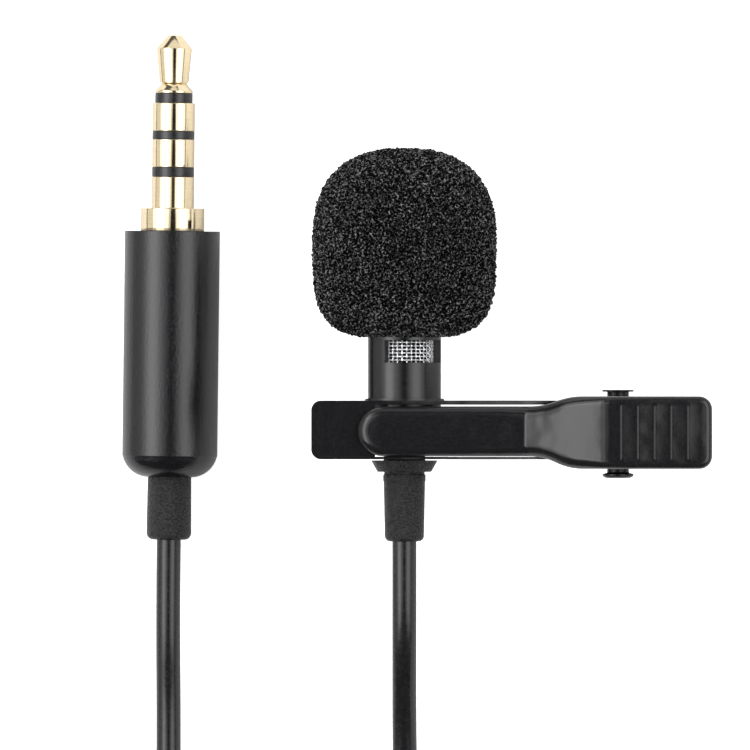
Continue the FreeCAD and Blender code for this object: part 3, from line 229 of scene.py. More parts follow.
def add_node(tree, kind, inputs, **settings):
    """Adds a node, sets it up and feeds its inputs."""
    node = tree.nodes.new(kind)
    for key, value in settings.items():
        setattr(node, key, value)
    feed(tree, node, inputs)
    return node


def compute(tree, operation, *values):
    """The output of a Math node that works on these values."""
    return add_node(tree, "ShaderNodeMath", dict(enumerate(values)), operation=operation).outputs[0]


def rescale(tree, value, start, end, to_start=0, to_end=1, **settings):
    """The value, with the range from start to end stretched to the other one."""
    limits = {"Value": value, "From Min": start, "From Max": end, "To Min": to_start, "To Max": to_end}
    return add_node(tree, "ShaderNodeMapRange", limits, **settings).outputs["Result"]


def blend(tree, factor, first, second):
    """A colour between the first, where the factor is 0, and the second."""
    inputs = {"Factor": factor, "A": first, "B": second}
    return add_node(tree, "ShaderNodeMix", inputs, data_type="RGBA").outputs["Result"]


def new_material(name):
    """A new material with its tree and its Principled shader."""
    material = bpy.data.materials.new(name)
    material.use_nodes = True
    return material, material.node_tree, material.node_tree.nodes["Principled BSDF"]


# %% [markdown]
# ## Light and floor
# The gold shows the studio: a wide white box on each side and a dark gap between them where the
# camera stands. Each side is a wide dim wall with a box and a bright core in front of it, so the
# light fades outwards. On the satin black the cores become two soft stripes. All of them reach
# further up than down. A card above picks out the upper edges, and a small bright one high on the
# left puts a glint on what leans that way.
#
# The floor is white to the camera and in reflections. Elsewhere it is a plain pale surface, so it
# keeps the object's shadow and throws a little light back.

# %% Set up the room
scene = bpy.context.scene
scene.view_settings.view_transform = "Standard"
ROOM_LEVEL, GAP_LEVEL = 0.12, 0.02
GAP_INNER, GAP_OUTER = 12, 24  # degrees from the camera's direction


def make_room():
    """A dim grey room with a dark place round the camera, whose edge fades between two angles."""
    world = bpy.data.worlds.new("studio")
    scene.world = world
    world.use_nodes = True
    tree = world.node_tree
    direction = add_node(tree, "ShaderNodeTexCoord", {}).outputs["Generated"]
    ahead = seat.to_3x3() @ Vector((0, 0, 1))
    facing = add_node(tree, "ShaderNodeVectorMath", {0: direction, 1: ahead}, operation="DOT_PRODUCT")
    outer, inner = math.cos(math.radians(GAP_OUTER)), math.cos(math.radians(GAP_INNER))
    level = rescale(tree, facing.outputs["Value"], outer, inner, ROOM_LEVEL, GAP_LEVEL)
    feed(tree, tree.nodes["Background"], {"Color": (1, 1, 1, 1), "Strength": level})


make_room()
print("room level %.2f, and %.2f where the camera stands" % (ROOM_LEVEL, GAP_LEVEL))

# %% Hang the soft boxes
STUDIO_ACROSS = -10  # between the plug and the microphone
STUDIO_CENTRE = seat @ Vector((STUDIO_ACROSS * MM, 0, 0))
# Name, degrees to the right and downwards, distance, width and height in mm, and level.
SOFT_BOXES = (
    ("left_wall", -56, -6, 300, 668, 430, 0.7),
    ("left_box", -46, -6, 290, 335, 415, 0.9),
    ("left_core", -48, -6, 280, 142, 400, 2.6),
    ("right_wall", 40, -6, 300, 346, 430, 0.7),
    ("right_box", 39, -6, 290, 270, 415, 0.8),
    ("right_core", 39, -6, 280, 129, 400, 1.4),
    ("top_card", 0, -72, 300, 500, 140, 0.8),
    ("high_left_card", -62, -45, 290, 170, 120, 2.0),
)


def hang_soft_box(name, right, down, distance, width, height, level):
    """A soft box that faces the object. A level of 1 makes it as bright as white paper."""
    light = bpy.data.lights.new(name, "AREA")
    light.shape = "RECTANGLE"
    light.size = width * MM
    light.size_y = height * MM
    light.energy = level * math.pi * light.size * light.size_y
    lamp = add_object(name, light)
    swing = Matrix.Rotation(lean + math.radians(right), 4, "Y")
    tilt = Matrix.Rotation(math.radians(down), 4, "X")
    out = Matrix.Translation((0, 0, distance * MM))
    lamp.matrix_world = Matrix.Translation(STUDIO_CENTRE) @ swing @ tilt @ out
    lamp.visible_camera = False


for soft_box in SOFT_BOXES:
    hang_soft_box(*soft_box)
print("%d soft boxes" % len(SOFT_BOXES))

# %% Lay the floor
FLOOR_WIDTH = 4
SEEN_LIFT, MIRRORED_LIFT = 0.85, 0.1


def make_floor():
    """A wide plane that glows only towards the camera and, less, in reflections."""
    bpy.ops.object.select_all(action="DESELECT")
    bpy.ops.mesh.primitive_plane_add(size=FLOOR_WIDTH)
    floor = bpy.context.object
    floor.name = "floor"
    material, tree, shader = new_material("white_floor")
    path = add_node(tree, "ShaderNodeLightPath", {}).outputs
    mirrored = compute(tree, "ADD", path["Is Glossy Ray"], path["Is Transmission Ray"])
    dimmed = compute(tree, "MULTIPLY", mirrored, MIRRORED_LIFT)
    look = {
        "Base Color": (0.65, 0.65, 0.65, 1),
        "Roughness": 0.9,
        "Specular IOR Level": 0.1,
        "Emission Color": (1, 1, 1, 1),
        "Emission Strength": compute(tree, "MULTIPLY_ADD", path["Is Camera Ray"], SEEN_LIFT, dimmed),
    }
    feed(tree, shader, look)
    floor.data.materials.append(material)


make_floor()

# %% [markdown]
# ## Ways of modelling
# Most pieces of a microphone are turned on a lathe, so one helper draws half an outline point by
# point and spins it. Stamped sheet starts with the same drawn line as a closed outline, which is
# filled, cut where it bends and lifted. Both ways leave sharp edges, which a narrow bevel then
# breaks, because every real edge catches a thin line of light.

# %% Modelling helpers
WELD, FINE_WELD = 0.001, 0.0005


def pick(piece):
    """Selects this piece alone and makes it the active one."""
    bpy.ops.object.select_all(action="DESELECT")
    piece.select_set(True)
    bpy.context.view_layer.objects.active = piece


def draw_line(name, points):
    """A mesh with one line through the points, left in edit mode with all selected."""
    bpy.ops.object.select_all(action="DESELECT")
    bpy.ops.mesh.primitive_plane_add(size=MM)
    piece = bpy.context.object
    piece.name = name
    bpy.ops.object.mode_set(mode="EDIT")
    bpy.ops.mesh.select_mode(type="VERT")
    bpy.ops.mesh.merge(type="CENTER")
    bpy.ops.transform.translate(value=Vector(points[0]) * MM)
    for last, following in zip(points, points[1:]):
        step = (Vector(following) - Vector(last)) * MM
        bpy.ops.mesh.extrude_region_move(TRANSFORM_OT_translate={"value": step})
    bpy.ops.mesh.select_all(action="SELECT")
    return piece


def close_mesh(weld=0):
    """Merges points closer than the weld, turns all faces outwards and leaves edit mode."""
    bpy.ops.mesh.select_all(action="SELECT")
    if weld:
        bpy.ops.mesh.remove_doubles(threshold=weld * MM)
    bpy.ops.mesh.normals_make_consistent(inside=False)
    bpy.ops.object.mode_set(mode="OBJECT")


def turn(name, outline, steps=96):
    """Spins an outline of (radius, height) points, in mm, about the Y axis."""
    piece = draw_line(name, [(radius, height, 0) for radius, height in outline])
    bpy.ops.mesh.spin(steps=steps, angle=2 * math.pi, center=(0, 0, 0), axis=(0, 1, 0))
    close_mesh(WELD)
    return piece


def apply_modifier(piece, kind, **settings):
    """Adds a modifier, gives it its settings and applies it."""
    pick(piece)
    modifier = piece.modifiers.new(kind.lower(), kind)
    for key, value in settings.items():
        setattr(modifier, key, value)
    bpy.ops.object.modifier_apply(modifier=modifier.name)


# %% Finishing helpers
def smooth(piece, angle=30):
    """Shades smooth all edges that bend less than the angle."""
    pick(piece)
    bpy.ops.object.shade_smooth_by_angle(angle=math.radians(angle))


def soften(piece, width, segments=3, angle=30):
    """Rounds every edge sharper than the angle, and shades the rest smooth."""
    limit = math.radians(angle)
    apply_modifier(
        piece, "BEVEL", width=width * MM, segments=segments, limit_method="ANGLE", angle_limit=limit
    )
    smooth(piece, angle)


def settle(piece, place):
    """Puts a piece in its place and keeps that place in its mesh."""
    pick(piece)
    piece.matrix_world = place
    bpy.ops.object.transform_apply(location=True, rotation=True, scale=True)


def dress(piece, finish, body, slot, *nodes):
    """Gives a finished piece its material, its body and the nodes that it stands for."""
    piece.data.materials.clear()
    piece.data.materials.append(finishes[finish])
    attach(piece, body)
    if nodes:
        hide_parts(*nodes)
    triangles = sum(len(face.vertices) - 2 for face in piece.data.polygons)
    print("%s: %d triangles" % (piece.name, triangles))
    return piece


# %% [markdown]
# ## Finishes
# Nearly every surface here is black, so what tells them apart is how they break the light: paint
# has a faint orange peel, anodised metal a fine blasted grain, rubber a coarse one and moulded
# plastic almost none. One group makes grain for all of them and gives a bumped normal and a mask
# that varies colour and roughness.

# %% Grain group
SWAY_SCALE = 450
GRAIN_INPUTS = {"Scale": 1000.0, "Depth": 0.00001, "Stretch": 1.0, "Sway": 0.0}


def make_grain_group():
    """A noise that varies colour and roughness through its mask and bumps the surface."""
    tree = bpy.data.node_groups.new("grain", "ShaderNodeTree")
    for name, default in GRAIN_INPUTS.items():
        socket = tree.interface.new_socket(name, in_out="INPUT", socket_type="NodeSocketFloat")
        socket.default_value = default
    tree.interface.new_socket("Mask", in_out="OUTPUT", socket_type="NodeSocketFloat")
    tree.interface.new_socket("Normal", in_out="OUTPUT", socket_type="NodeSocketVector")
    given = tree.nodes.new("NodeGroupInput").outputs
    spot = add_node(tree, "ShaderNodeTexCoord", {}).outputs["Object"]
    # Stretch squeezes the pattern along Y, which turns grain into the fine rings of a turned piece.
    squeeze = add_node(tree, "ShaderNodeCombineXYZ", {"X": 1, "Y": given["Stretch"], "Z": 1})
    both = {0: spot, 1: squeeze.outputs[0]}
    squeezed = add_node(tree, "ShaderNodeVectorMath", both, operation="MULTIPLY").outputs[0]
    noise = {"Vector": squeezed, "Scale": given["Scale"], "Detail": 3, "Roughness": 0.6}
    grain = add_node(tree, "ShaderNodeTexNoise", noise).outputs["Fac"]
    # Sway is the depth of a wide, slow unevenness, such as stamping leaves in a sheet.
    sway = add_node(tree, "ShaderNodeTexNoise", {"Vector": spot, "Scale": SWAY_SCALE, "Detail": 1})
    slow_bump = add_node(
        tree, "ShaderNodeBump", {"Distance": given["Sway"], "Height": sway.outputs["Fac"]}
    )
    below = slow_bump.outputs["Normal"]
    bump = add_node(
        tree, "ShaderNodeBump", {"Distance": given["Depth"], "Height": grain, "Normal": below}
    )
    feed(tree, tree.nodes.new("NodeGroupOutput"), {"Mask": grain, "Normal": bump.outputs["Normal"]})
    return tree


grain_group = make_grain_group()
print("the grain group takes", ", ".join(GRAIN_INPUTS))

# %% A finish with grain
MASK_LOW, MASK_HIGH = 0.35, 0.65


def grained(name, dark, light, roughness, scale, depth, stretch=1, metallic=0, specular=0.5, sway=0):
    """A surface whose grain lies between a dark and a light colour."""
    material, tree, shader = new_material(name)
    values = {"Scale": scale, "Depth": depth * MM, "Stretch": stretch, "Sway": sway * MM}
    grain = add_node(tree, "ShaderNodeGroup", values, node_tree=grain_group)
    mask = rescale(tree, grain.outputs["Mask"], MASK_LOW, MASK_HIGH)
    look = {
        "Metallic": metallic,
        "Specular IOR Level": specular,
        "Base Color": blend(tree, mask, (*dark, 1), (*light, 1)),
        "Roughness": rescale(tree, mask, 0, 1, *roughness),
        "Normal": grain.outputs["Normal"],
    }
    feed(tree, shader, look)
    return material


# %% Finishes
# Dark and light colour, their roughness, scale, depth in mm, stretch, metallic, specular, sway in mm.
FINISHES = {
    "satin_paint": (
        (0.006, 0.006, 0.007), (0.009, 0.009, 0.01), (0.17, 0.22), 5000, 0.0035, 1, 0, 0.45, 0.1
    ),
    "anodised_black": ((0.002, 0.002, 0.003), (0.006, 0.006, 0.007), (0.14, 0.21), 5500, 0.027, 1, 0, 0.53),
    "turned_black": ((0.002, 0.002, 0.003), (0.008, 0.008, 0.009), (0.16, 0.24), 1500, 0.009, 10),
    "gold_plate": ((0.86, 0.71, 0.46), (0.93, 0.78, 0.53), (0.06, 0.11), 700, 0.0015, 14, 1),
    "moulded_black": ((0.008, 0.008, 0.009), (0.014, 0.014, 0.015), (0.2, 0.28), 1800, 0.004),
    "boot_rubber": ((0.001, 0.001, 0.001), (0.024, 0.024, 0.025), (0.22, 0.34), 5200, 0.2, 1, 0, 0.29),
    "cable_jacket": ((0.005, 0.005, 0.006), (0.01, 0.01, 0.011), (0.2, 0.28), 3000, 0.004),
    "woven_steel": ((0.78, 0.78, 0.8), (0.92, 0.92, 0.93), (0.22, 0.34), 3000, 0.003, 1, 1),
    "spring_steel": ((0.35, 0.35, 0.37), (0.5, 0.5, 0.52), (0.25, 0.35), 2500, 0.003, 1, 1),
    "nickel": ((0.6, 0.58, 0.54), (0.7, 0.68, 0.64), (0.2, 0.3), 1500, 0.002, 6, 1),
    "plain_aluminium": ((0.66, 0.67, 0.69), (0.76, 0.77, 0.79), (0.3, 0.4), 2000, 0.003, 1, 1),
    "white_plastic": ((0.7, 0.69, 0.66), (0.8, 0.79, 0.76), (0.4, 0.5), 1500, 0.004),
    "green_board": ((0.03, 0.16, 0.07), (0.05, 0.24, 0.1), (0.3, 0.4), 3000, 0.004),
    "metal_film": ((0.5, 0.48, 0.45), (0.62, 0.6, 0.56), (0.2, 0.3), 900, 0.002, 1, 1),
    "black_wire": ((0.01, 0.01, 0.01), (0.02, 0.02, 0.02), (0.3, 0.4), 1500, 0.003),
}
finishes = {name: grained(name, *values) for name, values in FINISHES.items()}
cable.data.materials.append(finishes["cable_jacket"])
print("%d finishes" % len(FINISHES))

# %% Pieces that keep their solid
KEPT = {
    "mic_tube": "turned_black",
    "head_grille": "woven_steel",
    "capsule_gasket": "boot_rubber",
    "capsule_can": "plain_aluminium",
    "capsule_diaphragm": "metal_film",
    "capsule_spacer": "white_plastic",
    "capsule_backplate": "gold_plate",
    "capsule_holder": "white_plastic",
    "capsule_contact": "gold_plate",
    "capsule_board": "green_board",
    "capsule_transistor": "moulded_black",
    "capsule_wires": "black_wire",
    "tail_plug": "nickel",
    "cable_ferrule": "nickel",
    "mic_cable_end": "cable_jacket",
    "plug_core": "white_plastic",
    "plug_wires": "black_wire",
    "plug_cable_end": "cable_jacket",
}
for node, finish in KEPT.items():
    solid = frame["nodes"][node]
    material = finishes[finish]
    if not solid.material_slots:
        solid.data.materials.append(material)
    for material_slot in solid.material_slots:
        material_slot.material = material
print("%d solids keep their shape" % len(KEPT))

# %% [markdown]
# ## Plug
# A four-pole plug is a stack of turned pieces: a tip with a groove that clicks into the socket, two
# rings, a sleeve with a wide collar, and black bands between them. Each is turned from its own
# outline. Heights are counted from the barrel's front face towards the tip.

# %% Outlines of the plug's contacts
PLUG_ACROSS, PLUG_ALONG, PLUG_RADIUS, PLUG_LEAN = 21.5, 0.08, 3.92, 0.7
BOOT_REACH = 25.42
CONTACT_RADIUS, BAND_RADIUS, ROD_RADIUS = 1.75, 1.74, 0.4
COLLAR_RADIUS, COLLAR_FRONT, SLEEVE_BORE, SLEEVE_BACK = 2.615, 1.88, 1.4, -1.2
TIP_FRONT, TIP_BACK, TIP_ROD_BACK = 16.14, 11.37, 10.6
# Where one contact or insulator ends and the next begins, from the sleeve towards the tip.
SLEEVE_FRONT, SECOND_BACK, SECOND_FRONT, FIRST_BACK, FIRST_FRONT = 4.47, 5.27, 7.56, 8.25, 10.55


def band(outer, back, front):
    """Outline of a ring on the centre rod."""
    return ((ROD_RADIUS, back), (outer, back), (outer, front), (ROD_RADIUS, front), (ROD_RADIUS, back))


plug_outlines = {
    "plug_tip": (
        (0.0, TIP_ROD_BACK),
        (ROD_RADIUS, TIP_ROD_BACK),
        (ROD_RADIUS, TIP_BACK),
        (1.565, TIP_BACK),
        (1.565, 11.57),
        (1.22, 11.92),
        (1.0, 12.21),
        (1.2, 12.21),
        (1.465, 15.04),
        (0.575, TIP_FRONT),
        (0.0, TIP_FRONT),
    ),
    "tip_insulator": band(1.55, FIRST_FRONT, TIP_BACK),
    "first_ring": band(CONTACT_RADIUS, FIRST_BACK, FIRST_FRONT),
    "ring_insulator": band(BAND_RADIUS, SECOND_FRONT, FIRST_BACK),
    "second_ring": band(CONTACT_RADIUS, SECOND_BACK, SECOND_FRONT),
    "sleeve_insulator": band(BAND_RADIUS, SLEEVE_FRONT, SECOND_BACK),
    "plug_sleeve": (
        (SLEEVE_BORE, SLEEVE_BACK),
        (CONTACT_RADIUS, SLEEVE_BACK),
        (CONTACT_RADIUS, 0.0),
        (COLLAR_RADIUS, 0.0),
        (COLLAR_RADIUS, COLLAR_FRONT),
        (CONTACT_RADIUS, COLLAR_FRONT),
        (CONTACT_RADIUS, SLEEVE_FRONT),
        (SLEEVE_BORE, SLEEVE_FRONT),
        (SLEEVE_BORE, SLEEVE_BACK),
    ),
}

# %% Turn the contacts
plug_place = (
    Matrix.Translation(cable_origin + Vector((-PLUG_ACROSS, PLUG_ALONG, PLUG_RADIUS)) * MM)
    @ Matrix.Rotation(math.radians(-PLUG_LEAN), 4, "Z")
    @ Matrix.Translation((0, BOOT_REACH * MM, 0))
)
on_cable = [frame["nodes"][node] for node in ("plug_core", "plug_wires", "plug_cable_end")]
for node, outline in plug_outlines.items():
    finish = "moulded_black" if node.endswith("insulator") else "gold_plate"
    piece = turn("turned_" + node, outline)
    soften(piece, width=0.06)
    settle(piece, plug_place)
    on_cable.append(dress(piece, finish, "clip_base", finish, node))

# %% Turn the barrel and its boot
HOUSING_CREASE, HOUSING_ROUND, HOUSING_BORE = 18.52, 2.2, CONTACT_RADIUS + 0.02
ROUND_CENTRE = (1.74, -18.07)
BOOT_BORE, PLUG_BOOT_RADIUS, PLUG_BOOT_TOP = 1.02, 1.795, -17.7


def arc(centre, radius, start, end, steps):
    """Points of an arc about centre, from one angle to the other in degrees."""
    angles = [math.radians(start + (end - start) * index / steps) for index in range(steps + 1)]
    return [(centre[0] + radius * math.cos(a), centre[1] + radius * math.sin(a)) for a in angles]


crease_angle = math.degrees(math.asin((HOUSING_CREASE + ROUND_CENTRE[1]) / HOUSING_ROUND))
barrel_outline = [(HOUSING_BORE, -1.0), (HOUSING_BORE, 0.0), (PLUG_RADIUS, 0.0)]
barrel_outline += [(PLUG_RADIUS, -HOUSING_CREASE)]
barrel_outline += arc(ROUND_CENTRE, HOUSING_ROUND, -crease_angle, -88, 10)
barrel_outline += [(1.815, -19.4), (HOUSING_BORE, -1.0)]
barrel = turn("barrel", barrel_outline, steps=128)
soften(barrel, width=0.09)
settle(barrel, plug_place)
dress(barrel, "anodised_black", "clip_base", "black_anodised", "plug_housing")

plug_boot_outline = [(BOOT_BORE, -BOOT_REACH)]
plug_boot_outline += arc((1.275, -24.85), 0.57, -90, 0, 6)
plug_boot_outline += [(PLUG_BOOT_RADIUS, -20.27), (PLUG_BOOT_RADIUS, PLUG_BOOT_TOP)]
plug_boot_outline += [(BOOT_BORE, PLUG_BOOT_TOP), (BOOT_BORE, -BOOT_REACH)]
plug_boot = turn("plug_boot_rubber", plug_boot_outline)
soften(plug_boot, width=0.05)
settle(plug_boot, plug_place)
dress(plug_boot, "boot_rubber", "clip_base", "soft_rubber", "plug_boot")

# %% List what hangs on the cord
on_cable += [barrel, plug_boot]

# %% [markdown]
# ## Boot of the microphone
# The boot is a soft moulding: a barb that snaps in behind the clip's lower lug, a waist, a bead and
# a body that tapers down to the cable.

# %% Turn the boot
MIC_BOOT_END, MIC_BOOT_TOP, NECK_RADIUS = -11.6, -2.35, 1.7
boot_outline = [(BOOT_BORE, MIC_BOOT_END)]
boot_outline += arc((1.145, -11.13), 0.47, -90, 0, 6)
boot_outline += [
    (NECK_RADIUS, -6.69),
    (1.745, -6.64),
    (1.745, -6.14),
    (1.665, -6.09),
    (1.665, -5.89),
    (2.21, -5.89),
    (2.73, -4.95),
    (NECK_RADIUS, -4.95),
    (NECK_RADIUS, MIC_BOOT_TOP),
    (BOOT_BORE, MIC_BOOT_TOP),
    (BOOT_BORE, MIC_BOOT_END),
]
mic_boot = turn("mic_boot_rubber", boot_outline)
soften(mic_boot, width=0.05)
settle(mic_boot, seat)
dress(mic_boot, "boot_rubber", "microphone", "soft_rubber", "mic_boot")

# %% [markdown]
# ## Foam windscreen
# Open-cell foam is a net of thin strands round dark pores. The ball is turned from a rounded square
# outline and remeshed into even small faces. Each point is then pushed in by a cell pattern, none
# at the strands and most in the middle of a pore, and a coarser noise makes the skin uneven. The
# material paints light on the strands and paints further shade into the pores.

# %% Shape the foam
FOAM_WIDEST, FOAM_REACH_DOWN, FOAM_REACH_UP = 12.87, 7.79, 7.75
LOWER_SQUARENESS, UPPER_SQUARENESS = 3.8, 2.5
FOAM_STEPS = 24
FOAM_BORE, FOAM_BORE_TOP, BORE_LIP = 3.05, 14.8, 0.05
FOAM_VOXEL = 0.06


def foam_outline():
    """Half the ball's outline: up the bore, round the lower half and over the upper one."""
    radius = (foam_high.x - foam_low.x) / 2 / MM
    down, up = 2 / LOWER_SQUARENESS, 2 / UPPER_SQUARENESS
    bottom, top = [], []
    for index in range(FOAM_STEPS + 1):
        angle = math.pi / 2 * index / FOAM_STEPS
        across, along = math.cos(angle), math.sin(angle)
        bottom.append((radius * across**down, FOAM_WIDEST - FOAM_REACH_DOWN * along**down))
        top.append((radius * across**up, FOAM_WIDEST + FOAM_REACH_UP * along**up))
    lower = [point for point in reversed(bottom) if point[0] > FOAM_BORE + BORE_LIP]
    bore = [(0.0, FOAM_BORE_TOP), (FOAM_BORE, FOAM_BORE_TOP), (FOAM_BORE, lower[0][1])]
    return bore + lower + top[1:-1] + [(0.0, FOAM_WIDEST + FOAM_REACH_UP)]


foam = turn("foam", foam_outline(), steps=128)
apply_modifier(foam, "REMESH", mode="VOXEL", voxel_size=FOAM_VOXEL * MM)

# %% Mark the skin
BORE_MARGIN, BORE_TOP_MARGIN = 0.25, 0.5


def mark_skin(piece):
    """Notes which points lie on the outside: 1 there, and 0 in the bore."""
    mesh = piece.data
    skin = mesh.attributes.new("skin", "FLOAT", "POINT")
    reach = (FOAM_BORE + BORE_MARGIN) * MM
    top = (FOAM_BORE_TOP + BORE_TOP_MARGIN) * MM
    marks = [
        0.0 if math.hypot(vertex.co.x, vertex.co.z) < reach and vertex.co.y < top else 1.0
        for vertex in mesh.vertices
    ]
    skin.data.foreach_set("value", marks)
    print("foam: %d of %d points on its skin" % (sum(marks), len(marks)))


mark_skin(foam)
settle(foam, seat)

# %% Sink the pores
PORE_SIZE, PORE_DEPTH = 0.28, 0.36
UNEVEN, UNEVEN_SIZE, UNEVEN_MIDDLE = 0.8, 0.36, 0.45


def add_strands(tree, position, size, near, far):
    """The mask of one net of strands: 0 on a strand, 1 inside a pore."""
    cells = {"Vector": position, "Scale": 1 / (size * MM)}
    net = add_node(tree, "ShaderNodeTexVoronoi", cells, feature="DISTANCE_TO_EDGE")
    return rescale(tree, net.outputs["Distance"], near, far, interpolation_type="SMOOTHSTEP")


def make_pore_tree():
    """Geometry nodes that sink the skin along its normal, deepest in the middle of a pore."""
    tree = bpy.data.node_groups.new("pores", "GeometryNodeTree")
    for side in ("INPUT", "OUTPUT"):
        tree.interface.new_socket("Geometry", in_out=side, socket_type="NodeSocketGeometry")
    given = tree.nodes.new("NodeGroupInput").outputs[0]
    position = tree.nodes.new("GeometryNodeInputPosition").outputs[0]
    normal = tree.nodes.new("GeometryNodeInputNormal").outputs[0]
    deep = add_strands(tree, position, PORE_SIZE, near=0.04, far=0.3)
    uneven = add_node(tree, "ShaderNodeTexNoise", {"Vector": position, "Scale": 1 / (UNEVEN_SIZE * MM)})
    # The noise swings about its middle, which is taken off again so that the ball keeps its size.
    swing = UNEVEN / PORE_DEPTH
    total = compute(tree, "MULTIPLY_ADD", uneven.outputs["Fac"], swing, deep)
    centred = compute(tree, "SUBTRACT", total, swing * UNEVEN_MIDDLE)
    skin = add_node(tree, "GeometryNodeInputNamedAttribute", {"Name": "skin"}, data_type="FLOAT")
    inward = compute(tree, "MULTIPLY", centred, skin.outputs["Attribute"])
    reach = compute(tree, "MULTIPLY", inward, -PORE_DEPTH * MM)
    offset = add_node(tree, "ShaderNodeVectorMath", {0: normal, "Scale": reach}, operation="SCALE")
    move = add_node(tree, "GeometryNodeSetPosition", {"Geometry": given, "Offset": offset.outputs[0]})
    tree.links.new(move.outputs[0], tree.nodes.new("NodeGroupOutput").inputs[0])
    return tree


apply_modifier(foam, "NODES", node_group=make_pore_tree())
smooth(foam, angle=80)
print("foam: %d faces" % len(foam.data.polygons))

# %% Foam finish
DEEP_STRANDS = 0.8
LIT_SIZE, LIT_LOW, LIT_HIGH = 0.22, 0.46, 0.65


def make_foam_material():
    """Painted light on the strands over painted shade in the pores, darker still between the strands of a
    second, finer net.
    """
    material, tree, shader = new_material("open_foam")
    position = add_node(tree, "ShaderNodeTexCoord", {}).outputs["Object"]
    near = add_strands(tree, position, PORE_SIZE, near=0.03, far=0.12)
    far = add_strands(tree, position, PORE_SIZE * DEEP_STRANDS, near=0.02, far=0.12)
    lit = add_node(tree, "ShaderNodeTexNoise", {"Vector": position, "Scale": 1 / (LIT_SIZE * MM)})
    contrast = rescale(tree, lit.outputs["Fac"], LIT_LOW, LIT_HIGH)
    # The strands carry painted light, spread unevenly by a noise, and the pores carry painted shade,
    # darkest between the strands of the finer net.
    painted_strand_light = blend(tree, contrast, (0.006, 0.006, 0.006, 1), (0.25, 0.25, 0.253, 1))
    painted_pore_shade = blend(tree, far, (0.005, 0.005, 0.0052, 1), (0.0015, 0.0015, 0.0015, 1))
    colour = blend(tree, near, painted_strand_light, painted_pore_shade)
    feed(tree, shader, {"Roughness": 0.6, "Specular IOR Level": 0.0, "Base Color": colour})
    return material


finishes["open_foam"] = make_foam_material()
dress(foam, "open_foam", "windscreen", "foam", "foam_windscreen")
# The plug beside it mirrors only the studio in the photograph, so the ball stays out of reflections.
foam.visible_glossy = False

# %% [markdown]
# ## Front arm
# The front arm is stamped from one sheet: a narrow jaw, an S-shaped flare, a slope and a thumb pad
# with ribs, with a wall bent back all round. Seen from the front it is one outline, so the outline
# is drawn flat and filled. Cuts across it take the bends and the ribs, the cut sheet is lifted to
# its side view, the rim is extruded back and its edge is rounded. Solidify gives the sheet its
# thickness, and a boolean drills the holes for the hinge pin.

# %% Sizes of the front arm
ARM_TIP, ARM_HALF, ARM_MIDDLE = -3.79, 2.04, -2.56
PAD_END, PAD_HALF, PAD_MIDDLE, PAD_CORNER = 25.12, 2.965, -2.655, 1.05
FLARE_START, FLARE_END = 10.2, 14.56
SLOPE_START, SLOPE_END = 9.85, 16.42
ARM_FACE, PAD_FACE = 4.95, 8.35
CREASE_REACH, BROW_REACH, SLOPE_CROWN = 0.12, 0.5, 0.32
RIB_FIRST, RIB_PITCH, RIBS, RIB_HEIGHT, RIB_RISE = 17.62, 1.365, 5, 0.055, 0.14
RIB_HALF, RIB_ROUND = 2.38, 0.25
RIB_STOPS = (0, RIB_RISE, 0.28, 0.44, 0.62, 0.82, 1.06)
JAW_RIM, TOOTH_DEPTH, TOOTH_PITCH, TEETH = 3.65, 0.3, 0.85, 9
PAD_RIM, PAD_RIM_START = 6.75, 20.2
EAR_RADIUS = 1.5
SHEET = 0.3
PAD_ROUND, ARM_ROUND, SLOPE_ROUND = 0.5, 0.82, 1.05


def flare(along, narrow, wide):
    """Height of an S made of two equal arcs, from narrow to wide."""
    run, rise = FLARE_END - FLARE_START, wide - narrow
    bend = (run * run + rise * rise) / (4 * abs(rise))
    near = min(max(along - FLARE_START, 0), max(FLARE_END - along, 0))
    dip = math.copysign(bend - math.sqrt(bend * bend - near * near), rise)
    return narrow + dip if along < (FLARE_START + FLARE_END) / 2 else wide - dip


def share(along, start, end):
    """How far a place lies on the way from start to end: 0 before it, 1 beyond it."""
    return min(1.0, max(0.0, (along - start) / (end - start)))


def sharp_face(along):
    """Height of the sheet's face with sharp bends: level, up a slightly crowned slope, level."""
    climbed = share(along, SLOPE_START, SLOPE_END)
    return ARM_FACE + (PAD_FACE - ARM_FACE) * climbed + 4 * SLOPE_CROWN * climbed * (1 - climbed)


def arm_face(along):
    """The same height averaged over a short stretch, longer towards the pad, which rounds the bends."""
    climbed = share(along, SLOPE_START, SLOPE_END)
    reach = CREASE_REACH + (BROW_REACH - CREASE_REACH) * climbed
    heights = [sharp_face(along + reach * step / 6) for step in range(-6, 7)]
    return sum(heights) / len(heights)


def rib_lift(along, across):
    """Height of the ribs on the pad: a short steep side and a long one that flattens out."""
    place = along - RIB_FIRST
    if not 0 < place < RIB_PITCH * RIBS or abs(across - PAD_MIDDLE) > RIB_HALF - RIB_ROUND / 2:
        return 0.0
    beyond = place % RIB_PITCH
    if beyond < RIB_RISE:
        return RIB_HEIGHT * beyond / RIB_RISE
    return RIB_HEIGHT * ((RIB_PITCH - beyond) / (RIB_PITCH - RIB_RISE)) ** 2


def arm_rim(along):
    """Where the walls end: teeth along the jaw, an ear round the pin, a shallow rim behind the pad."""
    beside = along - PIVOT_ACROSS
    if abs(beside) <= EAR_RADIUS:
        return PIVOT_HEIGHT - math.sqrt(max(0.0, EAR_RADIUS**2 - beside**2))
    if along > PAD_RIM_START:
        return PAD_RIM
    if beside > 0:
        start = PIVOT_ACROSS + EAR_RADIUS
        return PIVOT_HEIGHT + (PAD_RIM - PIVOT_HEIGHT) * (along - start) / (PAD_RIM_START - start)
    tooth = (along - ARM_TIP - ARM_HALF) / TOOTH_PITCH
    if 0 < tooth < TEETH:
        return JAW_RIM + TOOTH_DEPTH * (1 - abs(2 * (tooth % 1) - 1))
    return JAW_RIM


